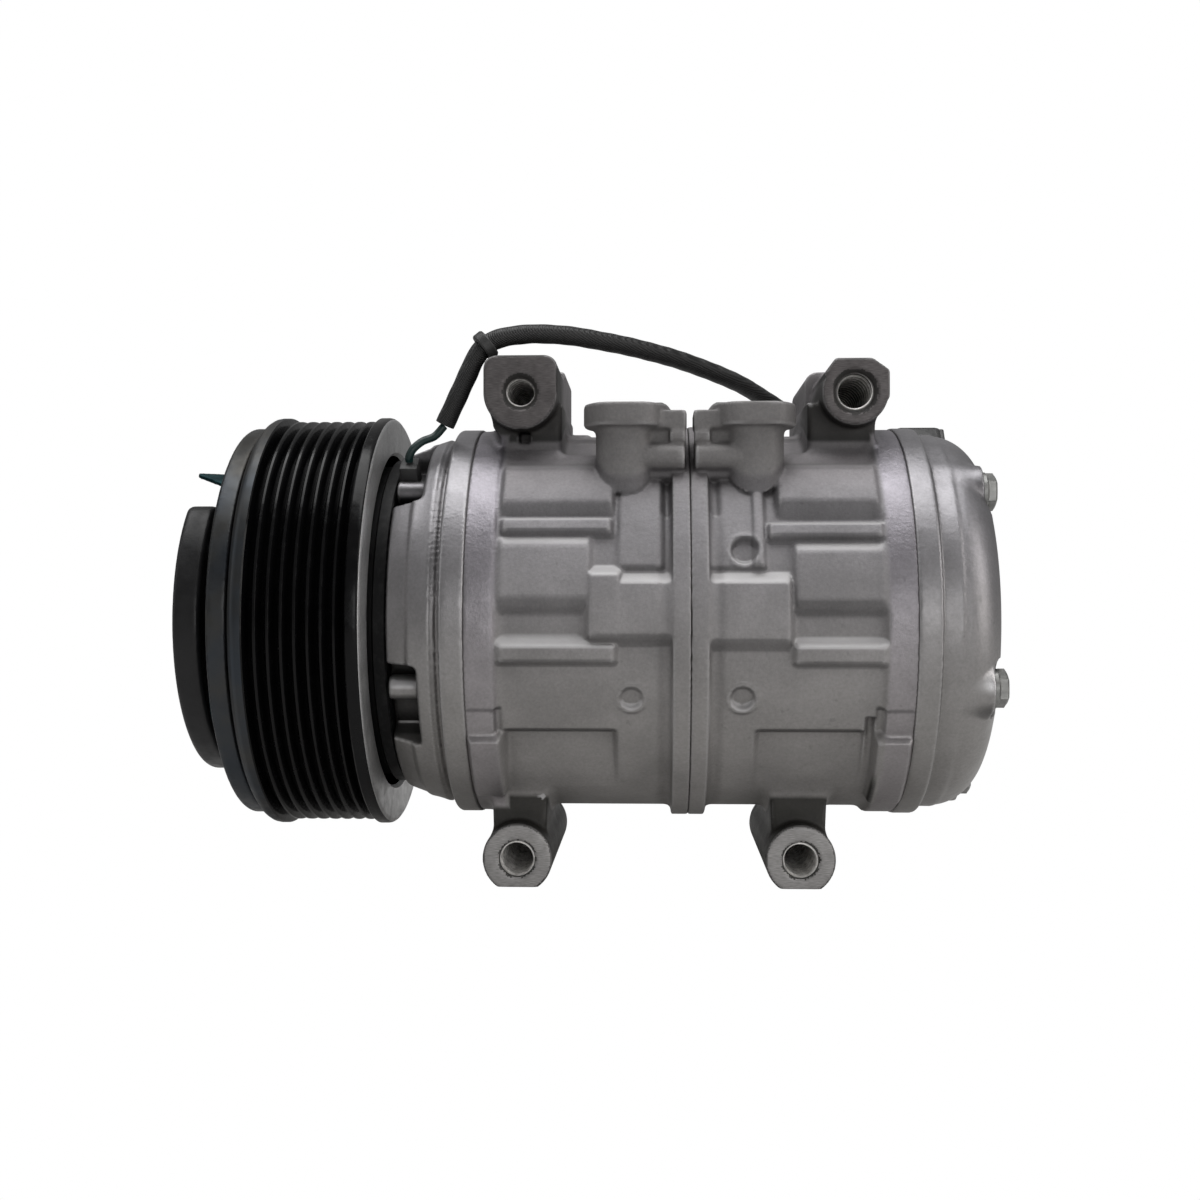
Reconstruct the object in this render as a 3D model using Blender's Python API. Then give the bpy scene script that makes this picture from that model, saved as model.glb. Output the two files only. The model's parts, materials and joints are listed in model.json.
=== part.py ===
"""Ten-cylinder swash-plate air-conditioning compressor with a grooved clutch pulley.

The shaft lies along X, with the pulley at -X, and the compressor stands on the flat
undersides of its two lower mounting ears.  Dimensions are millimetres in the shaft
frame: X = 0 at the joint between the two cylinder halves and Z = 0 on the shaft axis.
The root empty lifts that frame so that the origin is the bottom centre of the whole.
"""
import math

import bmesh
import bpy
from mathutils import Matrix, Quaternion, Vector

MM = 0.001

# Overall frame
SHAFT_HEIGHT = 74.3
FRONT_END = -142.8
REAR_END = 85.2
GAP = 0.3

# Casings
BODY_R = 55.8
BODY_FLANGE_R = 57.6
CENTRE_FLANGE_R = 58.9
CENTRE_FLANGE_HALF = 5.0
FRONT_PARTING = -60.4
REAR_PARTING = 59.5
SKIRT_FRONT = -82.5
REAR_COVER_END = 84.0
NOSE_R = 17.45
NOSE_FRONT = -117.4
STACK_R = 51.0
STACK_POCKET_R = 51.3
STACK_DEPTH = 5.25
SEAL_GROOVE_INNER_R = 51.9
SEAL_GROOVE_OUTER_R = 54.1
SEAL_GROOVE_DEPTH = 1.9
SHAFT_HOLE_R = 9.0
SEAL_HOUSING_R = 12.4
SEAL_SEAT = -104.0
COVER_FLOOR = 78.0
PLENUM_INNER_R = 20.0
PLENUM_OUTER_R = 42.5
WINDOW_FLOOR_R = 44.0
WINDOW_BACK = -74.0

# Cylinders, swash chamber and through bolts
CYLINDERS = 5
PITCH_R = 34.5
BORE_R = 16.05
CHAMBER_R = 50.8
CHAMBER_HALF = 21.0
FIRST_PISTON_DEG = 4.0
FIRST_BOLT_DEG = 40.0
BOLT_CIRCLE_R = 47.3
BOLT_R = 2.8
BOLT_HOLE_R = 3.2
BOLT_HEAD_R = 5.6
BOLT_BOSS_R = 7.2
BOLT_SEAT = 81.0
BOLT_SEAT_R = 7.5
BOLT_TIP = -72.8

# Swash plate, shoes and pistons
STROKE = 19.3
SWASH_R = 44.0
SWASH_HALF = 5.0
SWASH_HOLE_R = 15.0
TILT_DIRECTION_DEG = 22.0
SHOE_R = 9.5
POCKET_R = 9.95
PISTON_R = 15.1
PISTON_HALF = 49.2
PISTON_BOSS_R = 8.5
PISTON_BOSS_FACE = 7.9
PISTON_SLOT_HALF = 9.8
PISTON_BRIDGE = 11.4
TILT = 2 * math.atan(STROKE / 4 / PITCH_R)
BALL_CIRCLE_R = PITCH_R * 2 / (1 + math.cos(TILT))

# Shaft and clutch
SHAFT_R = 8.0
SHAFT_FRONT = -134.0
SHAFT_REAR = 57.0
SHAFT_BORE_R = 11.3
SHAFT_NOSE_R = 6.0
THRUST_R = 13.0
PULLEY_FACE = -123.2
PULLEY_BACK = -87.4
PULLEY_R = 61.1
RIB_CREST_R = 60.0
RIB_ROOT_R = 57.0
RIB_PITCH = 3.56
RIB_COUNT = 7
FIRST_RIB = -115.7
RIM_INNER_R = 49.8
ARMATURE_FACE = -123.7
ARMATURE_BACK = -129.3
ARMATURE_R = 58.0
ARMATURE_BORE_R = 31.5
HUB_PLATE_FRONT = FRONT_END
HUB_PLATE_BACK = -135.1
HUB_R = 45.0
HUB_FLAT = 33.0
HUB_POST_CIRCLE_R = 38.0
HUB_RECESS_R = 13.0
HUB_RECESS_FLOOR = -137.4
HUB_BOSS_R = 12.5
HUB_BORE_R = 6.2
SPRING_FRONT = -132.2
SPRING_BACK = -131.2
TERMINAL_DEG = 33.0

# Mounting ears, all as long as each other in Y: X and Z of the hole, half width, hole radius
EAR_HALF = 35.0
TOP_FRONT_EAR = (-47.3, 64.3, 10.4, 3.3)
TOP_REAR_EAR = (46.0, 64.0, 9.2, 4.9)
LOW_FRONT_EAR = (-48.1, -66.3, 9.8, 4.8)
LOW_REAR_EAR = (30.9, -66.3, 9.8, 4.8)
EAR_ROOT = 40.0

# Service ports, one on each cylinder half, on the near upper flank
PORT_X = 17.9
PORT_Y = -37.0
PORT_R = 7.7
PORT_BORE_R = 5.0
PORT_FLANGE_R = 11.0
PORT_FLANGE_LOW = 53.8
PORT_TOP = 60.0
PORT_ROOT = 32.0

# Clutch lead
LEAD_R = 2.5
WIRE_R = 1.2
CONNECTOR_DEG = -35.0
LEAD_ROUTE = [
    (-68.4, -27.0, 54.7),
    (-65.8, -27.6, 58.0),
    (-62.9, -28.1, 63.2),
    (-61.2, -28.2, 69.0),
    (-60.4, -28.2, 74.0),
    (-58.0, -28.0, 78.2),
    (-53.5, -27.2, 80.8),
    (-48.0, -25.6, 82.0),
    (-42.5, -24.0, 82.5),
    (-34.0, -20.0, 82.6),
    (-25.7, -15.0, 82.0),
    (-18.0, -10.0, 81.3),
    (-11.0, -5.0, 80.4),
    (-3.5, 1.0, 79.3),
    (4.4, 8.0, 77.7),
    (11.5, 14.0, 75.9),
    (18.5, 21.5, 73.9),
    (27.0, 32.0, 70.5),
    (36.0, 40.5, 66.4),
    (46.0, 43.0, 61.8),
    (55.5, 40.6, 57.2),
    (60.6, 38.7, 55.3),
    (65.4, 38.2, 54.7),
]
WIRE_ROUTE = [
    (-79.4, -29.6, 45.6),
    (-79.2, -30.4, 46.9),
    (-78.0, -30.6, 49.0),
    (-75.6, -29.4, 51.2),
    (-72.4, -27.8, 52.8),
    (-68.9, -27.0, 54.3),
]

FINE = 32
ROUND = 20
COARSE = 12
BALLS = 14


def direction(degrees):
    """Unit vector across the shaft, turned from +Z towards -Y."""
    angle = math.radians(degrees)
    return Vector((0, -math.sin(angle), math.cos(angle)))


def clear_scene():
    for item in list(bpy.data.objects):
        bpy.data.objects.remove(item, do_unlink=True)


def material(name, colour, roughness, metallic):
    made = bpy.data.materials.new(name)
    made.use_nodes = True
    shader = made.node_tree.nodes["Principled BSDF"]
    shader.inputs["Base Color"].default_value = (*colour, 1)
    shader.inputs["Roughness"].default_value = roughness
    shader.inputs["Metallic"].default_value = metallic
    made.diffuse_color = (*colour, 1)
    return made


def finish_mesh(name, bm):
    """A mesh in metres, faces pointing out, from a bmesh in millimetres."""
    bmesh.ops.recalc_face_normals(bm, faces=bm.faces)
    bm.transform(Matrix.Scale(MM, 4))
    mesh = bpy.data.meshes.new(name)
    bm.to_mesh(mesh)
    bm.free()
    mesh.shade_smooth()
    mesh.set_sharp_from_angle(angle=math.radians(30))
    return mesh


def turned(profile, steps):
    """A solid of revolution about X from a closed outline of (x, radius) points."""
    bm = bmesh.new()
    rings = []
    for x, radius in profile:
        if radius == 0:
            rings.append([bm.verts.new((x, 0, 0))] * steps)
            continue
        ring = []
        for step in range(steps):
            angle = 2 * math.pi * step / steps
            ring.append(bm.verts.new((x, radius * math.cos(angle), radius * math.sin(angle))))
        rings.append(ring)
    for one, other in zip(rings, rings[1:] + rings[:1]):
        for step in range(steps):
            after = (step + 1) % steps
            corners = [one[step], one[after], other[after], other[step]]
            corners = list(dict.fromkeys(corners))
            if len(corners) > 2:
                bm.faces.new(corners)
    return bm


def prism(outline, low, high, axis):
    """An outline extruded along an axis; its points are the other two axes in order."""
    bm = bmesh.new()
    ends = []
    for level in (low, high):
        ring = []
        for u, v in outline:
            place = {"X": (level, u, v), "Y": (u, level, v), "Z": (u, v, level)}[axis]
            ring.append(bm.verts.new(place))
        bm.faces.new(ring)
        ends.append(ring)
    count = len(outline)
    for index in range(count):
        after = (index + 1) % count
        bm.faces.new([ends[0][index], ends[0][after], ends[1][after], ends[1][index]])
    return bm


def circle(u, v, radius, steps):
    turn = 2 * math.pi / steps
    return [(u + radius * math.cos(turn * k), v + radius * math.sin(turn * k)) for k in range(steps)]


def arc(u, v, radius, start, end, steps):
    points = []
    for k in range(steps + 1):
        angle = math.radians(start + (end - start) * k / steps)
        points.append((u + radius * math.cos(angle), v + radius * math.sin(angle)))
    return points


def merged(*parts):
    """Several bmeshes that don't touch, as one, for cutting."""
    whole = bmesh.new()
    for part in parts:
        holder = bpy.data.meshes.new("holder")
        bmesh.ops.recalc_face_normals(part, faces=part.faces)
        part.to_mesh(holder)
        part.free()
        whole.from_mesh(holder)
        bpy.data.meshes.remove(holder)
    return whole


def piece(name, bm, finish, parent, place=(0, 0, 0), turn=None):
    """One sub-part: a named object with its material, placed in the shaft frame."""
    made = bpy.data.objects.new(name, finish_mesh(name, bm))
    bpy.context.collection.objects.link(made)
    made.data.materials.append(finish)
    made.parent = parent
    made.location = Vector(place) * MM
    if turn is not None:
        made.rotation_mode = "QUATERNION"
        made.rotation_quaternion = turn
    return made


def shape_with(target, bm, operation):
    """Add a solid to a sub-part, or cut it away, with a Boolean modifier."""
    tool = bpy.data.objects.new(f"{target.name}_tool_{len(target.modifiers)}", finish_mesh("tool", bm))
    bpy.context.collection.objects.link(tool)
    tool.parent = target.parent
    tool.location = target.location
    tool.rotation_mode = target.rotation_mode
    tool.rotation_quaternion = target.rotation_quaternion
    tool.hide_render = True
    tool.display_type = "WIRE"
    modifier = target.modifiers.new(operation.lower(), "BOOLEAN")
    modifier.operation = operation
    modifier.solver = "EXACT"
    modifier.object = tool


def cut(target, bm):
    shape_with(target, bm, "DIFFERENCE")


def add(target, bm):
    shape_with(target, bm, "UNION")


def bolt_holes(low, high, radius=BOLT_HOLE_R, steps=8):
    holes = []
    for index in range(CYLINDERS):
        place = direction(FIRST_BOLT_DEG + 360 / CYLINDERS * index) * BOLT_CIRCLE_R
        holes.append(prism(circle(place.y, place.z, radius, steps), low, high, "X"))
    return holes


def cylinder_bores(low, high, radius=BORE_R, steps=ROUND):
    bores = []
    for index in range(CYLINDERS):
        place = direction(FIRST_PISTON_DEG + 360 / CYLINDERS * index) * PITCH_R
        bores.append(prism(circle(place.y, place.z, radius, steps), low, high, "X"))
    return bores


# Casings

def block_profile(side, parting, centre_groove):
    """Outline of one cylinder half, from the centre joint out to its cover."""
    near = GAP / 2
    far = abs(parting) - GAP / 2
    outline = [(near, SHAFT_BORE_R)]
    if centre_groove:
        outline += [
            (near, SEAL_GROOVE_INNER_R),
            (near + SEAL_GROOVE_DEPTH, SEAL_GROOVE_INNER_R),
            (near + SEAL_GROOVE_DEPTH, SEAL_GROOVE_OUTER_R),
            (near, SEAL_GROOVE_OUTER_R),
        ]
    outline += [
        (near, CENTRE_FLANGE_R),
        (CENTRE_FLANGE_HALF, CENTRE_FLANGE_R),
        (CENTRE_FLANGE_HALF + 0.8, BODY_R),
        (far - 7.2, BODY_R),
        (far - 6.4, BODY_FLANGE_R),
        (far, BODY_FLANGE_R),
        (far, SEAL_GROOVE_OUTER_R),
        (far - SEAL_GROOVE_DEPTH, SEAL_GROOVE_OUTER_R),
        (far - SEAL_GROOVE_DEPTH, SEAL_GROOVE_INNER_R),
        (far, SEAL_GROOVE_INNER_R),
        (far, SHAFT_BORE_R),
    ]
    return [(side * x, radius) for x, radius in outline]


def upper_ear(ear):
    """A squarish lug with a rounded underside, on a pedestal that reaches the body."""
    x, z, half, _ = ear
    corner = 4.0
    outline = arc(x + half - corner, z + half - corner, corner, 0, 90, 4)
    outline += arc(x - half + corner, z + half - corner, corner, 90, 180, 4)
    outline += arc(x, z, half, 180, 235, 3)
    outline += [(x - 7.0, EAR_ROOT), (x + 7.0, EAR_ROOT)]
    outline += arc(x, z, half, 305, 360, 3)
    return prism(outline, -EAR_HALF, EAR_HALF, "Y")


def lower_ear(ear):
    """A round-topped lug, cut flat underneath, on a neck that reaches the body."""
    x, z, half, _ = ear
    flat = -SHAFT_HEIGHT
    outline = [(x - 7.2, -EAR_ROOT)]
    outline += arc(x, z, half, 135, 205, 4)
    outline += [(x - 6.2, flat), (x + 6.2, flat)]
    outline += arc(x, z, half, 335, 405, 4)
    outline += [(x + 7.2, -EAR_ROOT)]
    return prism(outline, -EAR_HALF, EAR_HALF, "Y")


def ear_hole(ear):
    x, z, _, radius = ear
    return prism(circle(x, z, radius, COARSE), -EAR_HALF - 1, EAR_HALF + 1, "Y")


def port_boss(side):
    """A vertical boss with a flange that grows a lug towards the centre joint."""
    x = side * PORT_X
    boss = prism(circle(x, PORT_Y, PORT_R, COARSE), PORT_ROOT, PORT_FLANGE_LOW + 1, "Z")
    outline = arc(x, PORT_Y, PORT_FLANGE_R, 30, 330, 15)
    outline += [(x + PORT_X - 1.0, PORT_Y - 4.5), (x + PORT_X - 1.0, PORT_Y + 4.5)]
    if side > 0:
        outline = [(2 * x - u, v) for u, v in outline]
    flange = prism(outline, PORT_FLANGE_LOW, PORT_TOP, "Z")
    lug_low, lug_high = sorted((side * 1.6, side * 13.0))
    lug = prism(circle(PORT_Y - 1.5, 45.6, 3.7, 12), lug_low, lug_high, "X")
    return boss, flange, lug


def cylinder_half(name, side, parting, upper, lower, finish, root):
    block = piece(name, turned(block_profile(side, parting, side > 0), FINE), finish, root)
    add(block, upper_ear(upper))
    add(block, lower_ear(lower))
    for solid in port_boss(side):
        add(block, solid)
    cut(block, merged(ear_hole(upper), ear_hole(lower)))
    cut(block, prism(circle(side * PORT_X, PORT_Y, PORT_BORE_R, COARSE), 44.0, PORT_TOP + 1, "Z"))
    low, high = sorted((side * 10.0, side * 62.0))
    cut(block, merged(*cylinder_bores(low, high), *bolt_holes(low, high)))
    low, high = sorted((side * -1.0, side * CHAMBER_HALF))
    cut(block, prism(circle(0, 0, CHAMBER_R, FINE), low, high, "X"))
    return block


def window(start, end):
    """Cutter for an opening in the front skirt, between two angles above -Y."""
    outline = []
    for radius, angles in ((62.0, (start, end)), (WINDOW_FLOOR_R, (end, start))):
        for k in range(5):
            angle = math.radians(angles[0] + (angles[1] - angles[0]) * k / 4)
            outline.append((-radius * math.cos(angle), radius * math.sin(angle)))
    return prism(outline, SKIRT_FRONT - 1, WINDOW_BACK, "X")


def front_housing(finish, root):
    face = FRONT_PARTING - GAP / 2
    inner = FRONT_PARTING - STACK_DEPTH
    profile = [
        (face, STACK_POCKET_R),
        (face, BODY_FLANGE_R - 0.3),
        (-66.9, 56.9),
        (-67.5, 54.9),
        (-72.0, 54.0),
        (-77.5, 52.4),
        (-81.0, 50.4),
        (SKIRT_FRONT, 48.4),
        (SKIRT_FRONT, NOSE_R),
        (NOSE_FRONT, NOSE_R),
        (NOSE_FRONT, SEAL_HOUSING_R),
        (SEAL_SEAT, SEAL_HOUSING_R),
        (SEAL_SEAT, SHAFT_HOLE_R),
        (inner, SHAFT_HOLE_R),
        (inner, PLENUM_INNER_R),
        (-75.0, PLENUM_INNER_R),
        (-75.0, PLENUM_OUTER_R),
        (inner, PLENUM_OUTER_R),
        (inner, STACK_POCKET_R),
    ]
    housing = piece("front_housing", turned(profile, FINE), finish, root)
    cut(housing, merged(*bolt_holes(-73.5, inner + 2)))
    for start, end in ((-40, -13), (40, 84), (96, 140), (193, 220)):
        cut(housing, window(start, end))
    return housing


def rear_housing(finish, root):
    face = REAR_PARTING + GAP / 2
    inner = REAR_PARTING + STACK_DEPTH
    edge = 13.0
    profile = [(face, STACK_POCKET_R), (face, BODY_FLANGE_R - 0.3), (65.6, 56.9), (66.2, 55.2)]
    for k in range(5):
        angle = math.radians(90 - 22.5 * k)
        profile.append((REAR_COVER_END - edge * (1 - math.cos(angle)), 54.6 - edge * (1 - math.sin(angle))))
    profile += [
        (REAR_COVER_END, 0),
        (inner, 0),
        (inner, PLENUM_INNER_R - 6),
        (COVER_FLOOR, PLENUM_INNER_R - 6),
        (COVER_FLOOR, PLENUM_OUTER_R - 2.5),
        (inner, PLENUM_OUTER_R - 2.5),
        (inner, STACK_POCKET_R),
    ]
    housing = piece("rear_housing", turned(profile, FINE), finish, root)
    add(housing, merged(*bolt_holes(68.0, REAR_COVER_END + 0.4, BOLT_BOSS_R, COARSE)))
    cut(housing, merged(*bolt_holes(BOLT_SEAT, REAR_COVER_END + 2, BOLT_SEAT_R, COARSE)))
    cut(housing, merged(*bolt_holes(inner - 2, REAR_COVER_END + 2)))
    return housing


# Valve plates, seals, bolts and shaft bearings

def disc_between(low, high, radius, bore):
    low, high = sorted((low, high))
    if bore:
        return turned([(low, bore), (low, radius), (high, radius), (high, bore)], ROUND)
    return prism(circle(0, 0, radius, ROUND), low, high, "X")


def reed_outline(reach):
    """A star of five petals, one over each bore."""
    points = []
    for index in range(CYLINDERS):
        middle = FIRST_PISTON_DEG + 360 / CYLINDERS * index
        for degrees, radius in ((-36, 17.0), (-9, reach - 7), (-5, reach), (5, reach), (9, reach - 7)):
            place = direction(middle + degrees) * radius
            points.append((place.y, place.z))
    return points


def valve_stack(side, end, parting, shaft_hole, finishes, root):
    """Suction reed, valve plate, discharge reed and gasket, in a cover's pocket."""
    reeds = (("suction_reed", 0.25, 0.65, 43.0), ("discharge_reed", 3.95, 4.35, 41.0))
    for label, near, far, reach in reeds:
        low, high = sorted((parting + side * near, parting + side * far))
        reed = piece(f"{end}_{label}", prism(reed_outline(reach), low, high, "X"), finishes["steel"], root)
        if shaft_hole:
            cut(reed, prism(circle(0, 0, shaft_hole, COARSE), low - 1, high + 1, "X"))
    plates = (("valve_plate", 0.8, 3.8, "plate"), ("head_gasket", 4.5, 5.1, "gasket"))
    for label, near, far, finish in plates:
        low, high = sorted((parting + side * near, parting + side * far))
        layer = piece(f"{end}_{label}", disc_between(low, high, STACK_R, shaft_hole), finishes[finish], root)
        holes = bolt_holes(low - 1, high + 1)
        for index in range(CYLINDERS):
            outward = direction(FIRST_PISTON_DEG + 360 / CYLINDERS * index)
            for place in (outward * (PITCH_R - 8), outward * (PITCH_R + 5)):
                if label == "valve_plate":
                    holes.append(prism(circle(place.y, place.z, 2.8, 6), low - 1, high + 1, "X"))
        cut(layer, merged(*holes))


def o_ring(name, centre_x, finish, root):
    section = circle(centre_x, (SEAL_GROOVE_INNER_R + SEAL_GROOVE_OUTER_R) / 2, 0.8, 4)
    return piece(name, turned(section, FINE), finish, root)


def through_bolt(index, finish, root):
    """A long bolt that clamps both covers and both cylinder halves together."""
    place = direction(FIRST_BOLT_DEG + 360 / CYLINDERS * index) * BOLT_CIRCLE_R
    head = BOLT_SEAT + GAP
    profile = [
        (BOLT_TIP, 0),
        (BOLT_TIP, BOLT_R),
        (head, BOLT_R),
        (head, BOLT_HEAD_R),
        (REAR_END, BOLT_HEAD_R),
        (REAR_END, 0),
    ]
    bm = turned(profile, COARSE)
    return piece(f"through_bolt_{index + 1}", bm, finish, root, place)


def sleeve(name, low, high, bore, radius, finish, parent, steps=ROUND):
    profile = [(low, bore), (low, radius), (high, radius), (high, bore)]
    return piece(name, turned(profile, steps), finish, parent)


# Clutch coil, pulley and its bearing

def coil(finishes, root):
    shell = [
        (-113.0, 32.5),
        (-113.0, 34.2),
        (-91.0, 34.2),
        (-91.0, 44.8),
        (-113.0, 44.8),
        (-113.0, 46.5),
        (-86.6, 46.5),
        (-86.6, 48.4),
        (-82.8, 48.4),
        (-82.8, 17.8),
        (-86.6, 17.8),
        (-86.6, 32.5),
    ]
    piece("coil_shell", turned(shell, FINE), finishes["black_steel"], root)
    sleeve("coil_winding", -111.5, -91.3, 34.5, 44.5, finishes["winding"], root, FINE)
    out = direction(TERMINAL_DEG)
    along = Vector((0, out.z, -out.y))
    terminal = bmesh.new()
    bmesh.ops.create_cube(terminal, size=1)
    frame = Matrix((
        (5.4, 0, 0, -79.4),
        (0, 7.0 * along.y, 7.4 * out.y, out.y * 50.3),
        (0, 7.0 * along.z, 7.4 * out.z, out.z * 50.3),
        (0, 0, 0, 1),
    ))
    bmesh.ops.transform(terminal, matrix=frame, verts=terminal.verts)
    piece("coil_terminal", terminal, finishes["plastic"], root)


def pulley_profile():
    outline = [(PULLEY_FACE, 30.6), (PULLEY_FACE, 58.8), (-121.4, PULLEY_R)]
    crest_half = 0.45
    flange_end = FIRST_RIB - RIB_PITCH + crest_half
    outline.append((flange_end, PULLEY_R))
    for index in range(RIB_COUNT + 1):
        root_x = FIRST_RIB + RIB_PITCH * (index - 0.5)
        outline.append((root_x, RIB_ROOT_R))
        if index < RIB_COUNT:
            outline.append((FIRST_RIB + RIB_PITCH * index, RIB_CREST_R))
    far_flange = FIRST_RIB + RIB_PITCH * RIB_COUNT - crest_half
    outline += [
        (far_flange, PULLEY_R),
        (PULLEY_BACK - 0.8, PULLEY_R),
        (PULLEY_BACK, PULLEY_R - 0.8),
        (PULLEY_BACK, RIM_INNER_R),
        (-116.5, RIM_INNER_R),
        (-118.0, 48.3),
        (-118.0, 30.0),
        (-93.5, 30.0),
        (-93.5, 26.1),
        (-117.3, 26.1),
        (-117.3, 22.8),
        (-119.0, 22.8),
        (-119.0, 30.6),
    ]
    return outline


def pulley_group(finishes, root):
    piece("pulley", turned(pulley_profile(), FINE), finishes["black"], root)
    sleeve("bearing_inner_race", -117.0, -97.0, 17.6, 19.7, finishes["steel"], root, FINE)
    sleeve("bearing_outer_race", -117.0, -97.0, 24.4, 25.9, finishes["steel"], root)
    sleeve("bearing_snap_ring", -96.6, -95.4, 24.2, 25.9, finishes["steel"], root)
    outline = []
    for index in range(2 * BALLS):
        angle = math.pi * index / BALLS
        radius = 23.9 if index % 2 else 22.7
        outline.append((radius * math.cos(angle), radius * math.sin(angle)))
    cage = piece("bearing_ball_cage", prism(outline, -112.0, -102.0, "X"), finishes["brass"], root)
    cut(cage, prism(circle(0, 0, 20.6, BALLS), -113.0, -101.0, "X"))


# Shaft, clutch hub and armature

def drive_shaft(finish, root):
    profile = [
        (SHAFT_FRONT, 0),
        (SHAFT_FRONT, SHAFT_NOSE_R - 0.8),
        (SHAFT_FRONT + 0.8, SHAFT_NOSE_R),
        (-104.5, SHAFT_NOSE_R),
        (-103.5, SHAFT_R),
        (SHAFT_REAR - 1, SHAFT_R),
        (SHAFT_REAR, SHAFT_R - 1),
        (SHAFT_REAR, 0),
    ]
    return piece("drive_shaft", turned(profile, ROUND), finish, root)


def hub_outline():
    """A round plate cut flat along its top."""
    corner = math.degrees(math.asin(HUB_FLAT / HUB_R))
    return arc(0, 0, HUB_R, 180 - corner, 360 + corner, 24)


def clutch_hub(finish, root):
    hub = piece("clutch_hub", prism(hub_outline(), HUB_PLATE_FRONT, HUB_PLATE_BACK, "X"), finish, root)
    back = NOSE_FRONT - 1.0
    boss = [(HUB_PLATE_BACK - 1.9, 0), (HUB_PLATE_BACK - 1.9, HUB_BOSS_R), (back, HUB_BOSS_R), (back, 0)]
    add(hub, turned(boss, ROUND))
    for index in range(3):
        angle = math.radians(-90 + 120 * index)
        post = circle(HUB_POST_CIRCLE_R * math.cos(angle), HUB_POST_CIRCLE_R * math.sin(angle), 4.0, 8)
        add(hub, prism(post, -136.0, SPRING_FRONT - 0.15, "X"))
    cut(hub, prism(circle(0, 0, HUB_RECESS_R, ROUND), HUB_PLATE_FRONT - 1, HUB_RECESS_FLOOR, "X"))
    cut(hub, prism(circle(0, 0, HUB_BORE_R, ROUND), HUB_RECESS_FLOOR - 0.6, back + 0.4, "X"))
    return hub


def hub_bolt(finish, root):
    bolt = piece("hub_bolt", prism(circle(0, 0, 7.2, 6), -141.6, -137.7, "X"), finish, root)
    add(bolt, prism(circle(0, 0, 3.9, COARSE), -138.0, SHAFT_FRONT - 0.3, "X"))
    return bolt


def spring_outline():
    """A three-armed plate: the arms reach from the hub's posts to the armature's posts."""
    points = []
    for arm in range(3):
        start = -90 + 120 * arm
        for k in range(5):
            angle = math.radians(start - 9 + 4.5 * k)
            points.append((43.0 * math.cos(angle), 43.0 * math.sin(angle)))
        for degrees, radius in ((26, 44.0), (44, 50.5), (60, 52.0), (76, 50.5), (80, 45.0), (84, 36.0)):
            angle = math.radians(start + degrees)
            points.append((radius * math.cos(angle), radius * math.sin(angle)))
    return points


def leaf_spring(finish, root):
    spring = piece("leaf_spring", prism(spring_outline(), SPRING_FRONT, SPRING_BACK, "X"), finish, root)
    cut(spring, prism(circle(0, 0, 24.0, ROUND), SPRING_FRONT - 1, SPRING_BACK + 1, "X"))
    return spring


def armature(finish, root):
    profile = [
        (ARMATURE_FACE, ARMATURE_BORE_R),
        (ARMATURE_FACE, ARMATURE_R - 0.6),
        (ARMATURE_FACE - 0.6, ARMATURE_R),
        (ARMATURE_BACK + 0.6, ARMATURE_R),
        (ARMATURE_BACK, ARMATURE_R - 0.6),
        (ARMATURE_BACK, ARMATURE_BORE_R),
    ]
    plate = piece("armature", turned(profile, FINE), finish, root)
    for post in range(3):
        angle = math.radians(-30 + 120 * post)
        outline = circle(45.5 * math.cos(angle), 45.5 * math.sin(angle), 3.5, 8)
        add(plate, prism(outline, SPRING_BACK + 0.15, ARMATURE_BACK + 1, "X"))
    return plate


# Swash plate, shoes and pistons

def tilt_turn():
    """The smallest turn that tips the swash plate's axis from X to its rest direction."""
    across = direction(TILT_DIRECTION_DEG)
    normal = Vector((math.cos(TILT), 0, 0)) + across * math.sin(TILT)
    return Vector((1, 0, 0)).rotation_difference(normal)


def ball_centre(index):
    """Where the ball centre of one piston's shoes stands at rest."""
    outward = direction(FIRST_PISTON_DEG + 360 / CYLINDERS * index)
    return tilt_turn() @ (outward * BALL_CIRCLE_R)


def swash_plate(finishes, root):
    turn = tilt_turn()
    edge = 1.0
    profile = [
        (-SWASH_HALF, SWASH_HOLE_R),
        (-SWASH_HALF, SWASH_R - edge),
        (-SWASH_HALF + edge, SWASH_R),
        (SWASH_HALF - edge, SWASH_R),
        (SWASH_HALF, SWASH_R - edge),
        (SWASH_HALF, SWASH_HOLE_R),
    ]
    piece("swash_disc", turned(profile, FINE), finishes["bronze"], root, turn=turn)
    collar = turned([(-7.0, 0), (-7.0, 14.6), (7.0, 14.6), (7.0, 0)], ROUND)
    hub = piece("swash_hub", collar, finishes["iron"], root, turn=turn)
    level = turn.inverted()
    barrel = turned([(-16.0, 0), (-16.0, 12.5), (16.0, 12.5), (16.0, 0)], ROUND)
    bore = prism(circle(0, 0, SHAFT_R + GAP / 2, ROUND), -20, 20, "X")
    for solid in (barrel, bore):
        bmesh.ops.rotate(solid, verts=solid.verts, cent=(0, 0, 0), matrix=level.to_matrix())
    add(hub, barrel)
    cut(hub, bore)


def shoe_profile(side):
    """A shallow spherical cap that slides on the disc and swivels in the piston."""
    foot = SWASH_HALF + 0.15
    reach = math.acos(foot / SHOE_R)
    points = [(side * foot, 0)]
    for k in range(4):
        angle = reach * (1 - k / 4)
        points.append((side * SHOE_R * math.cos(angle), SHOE_R * math.sin(angle)))
    points.append((side * SHOE_R, 0))
    return points


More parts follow.
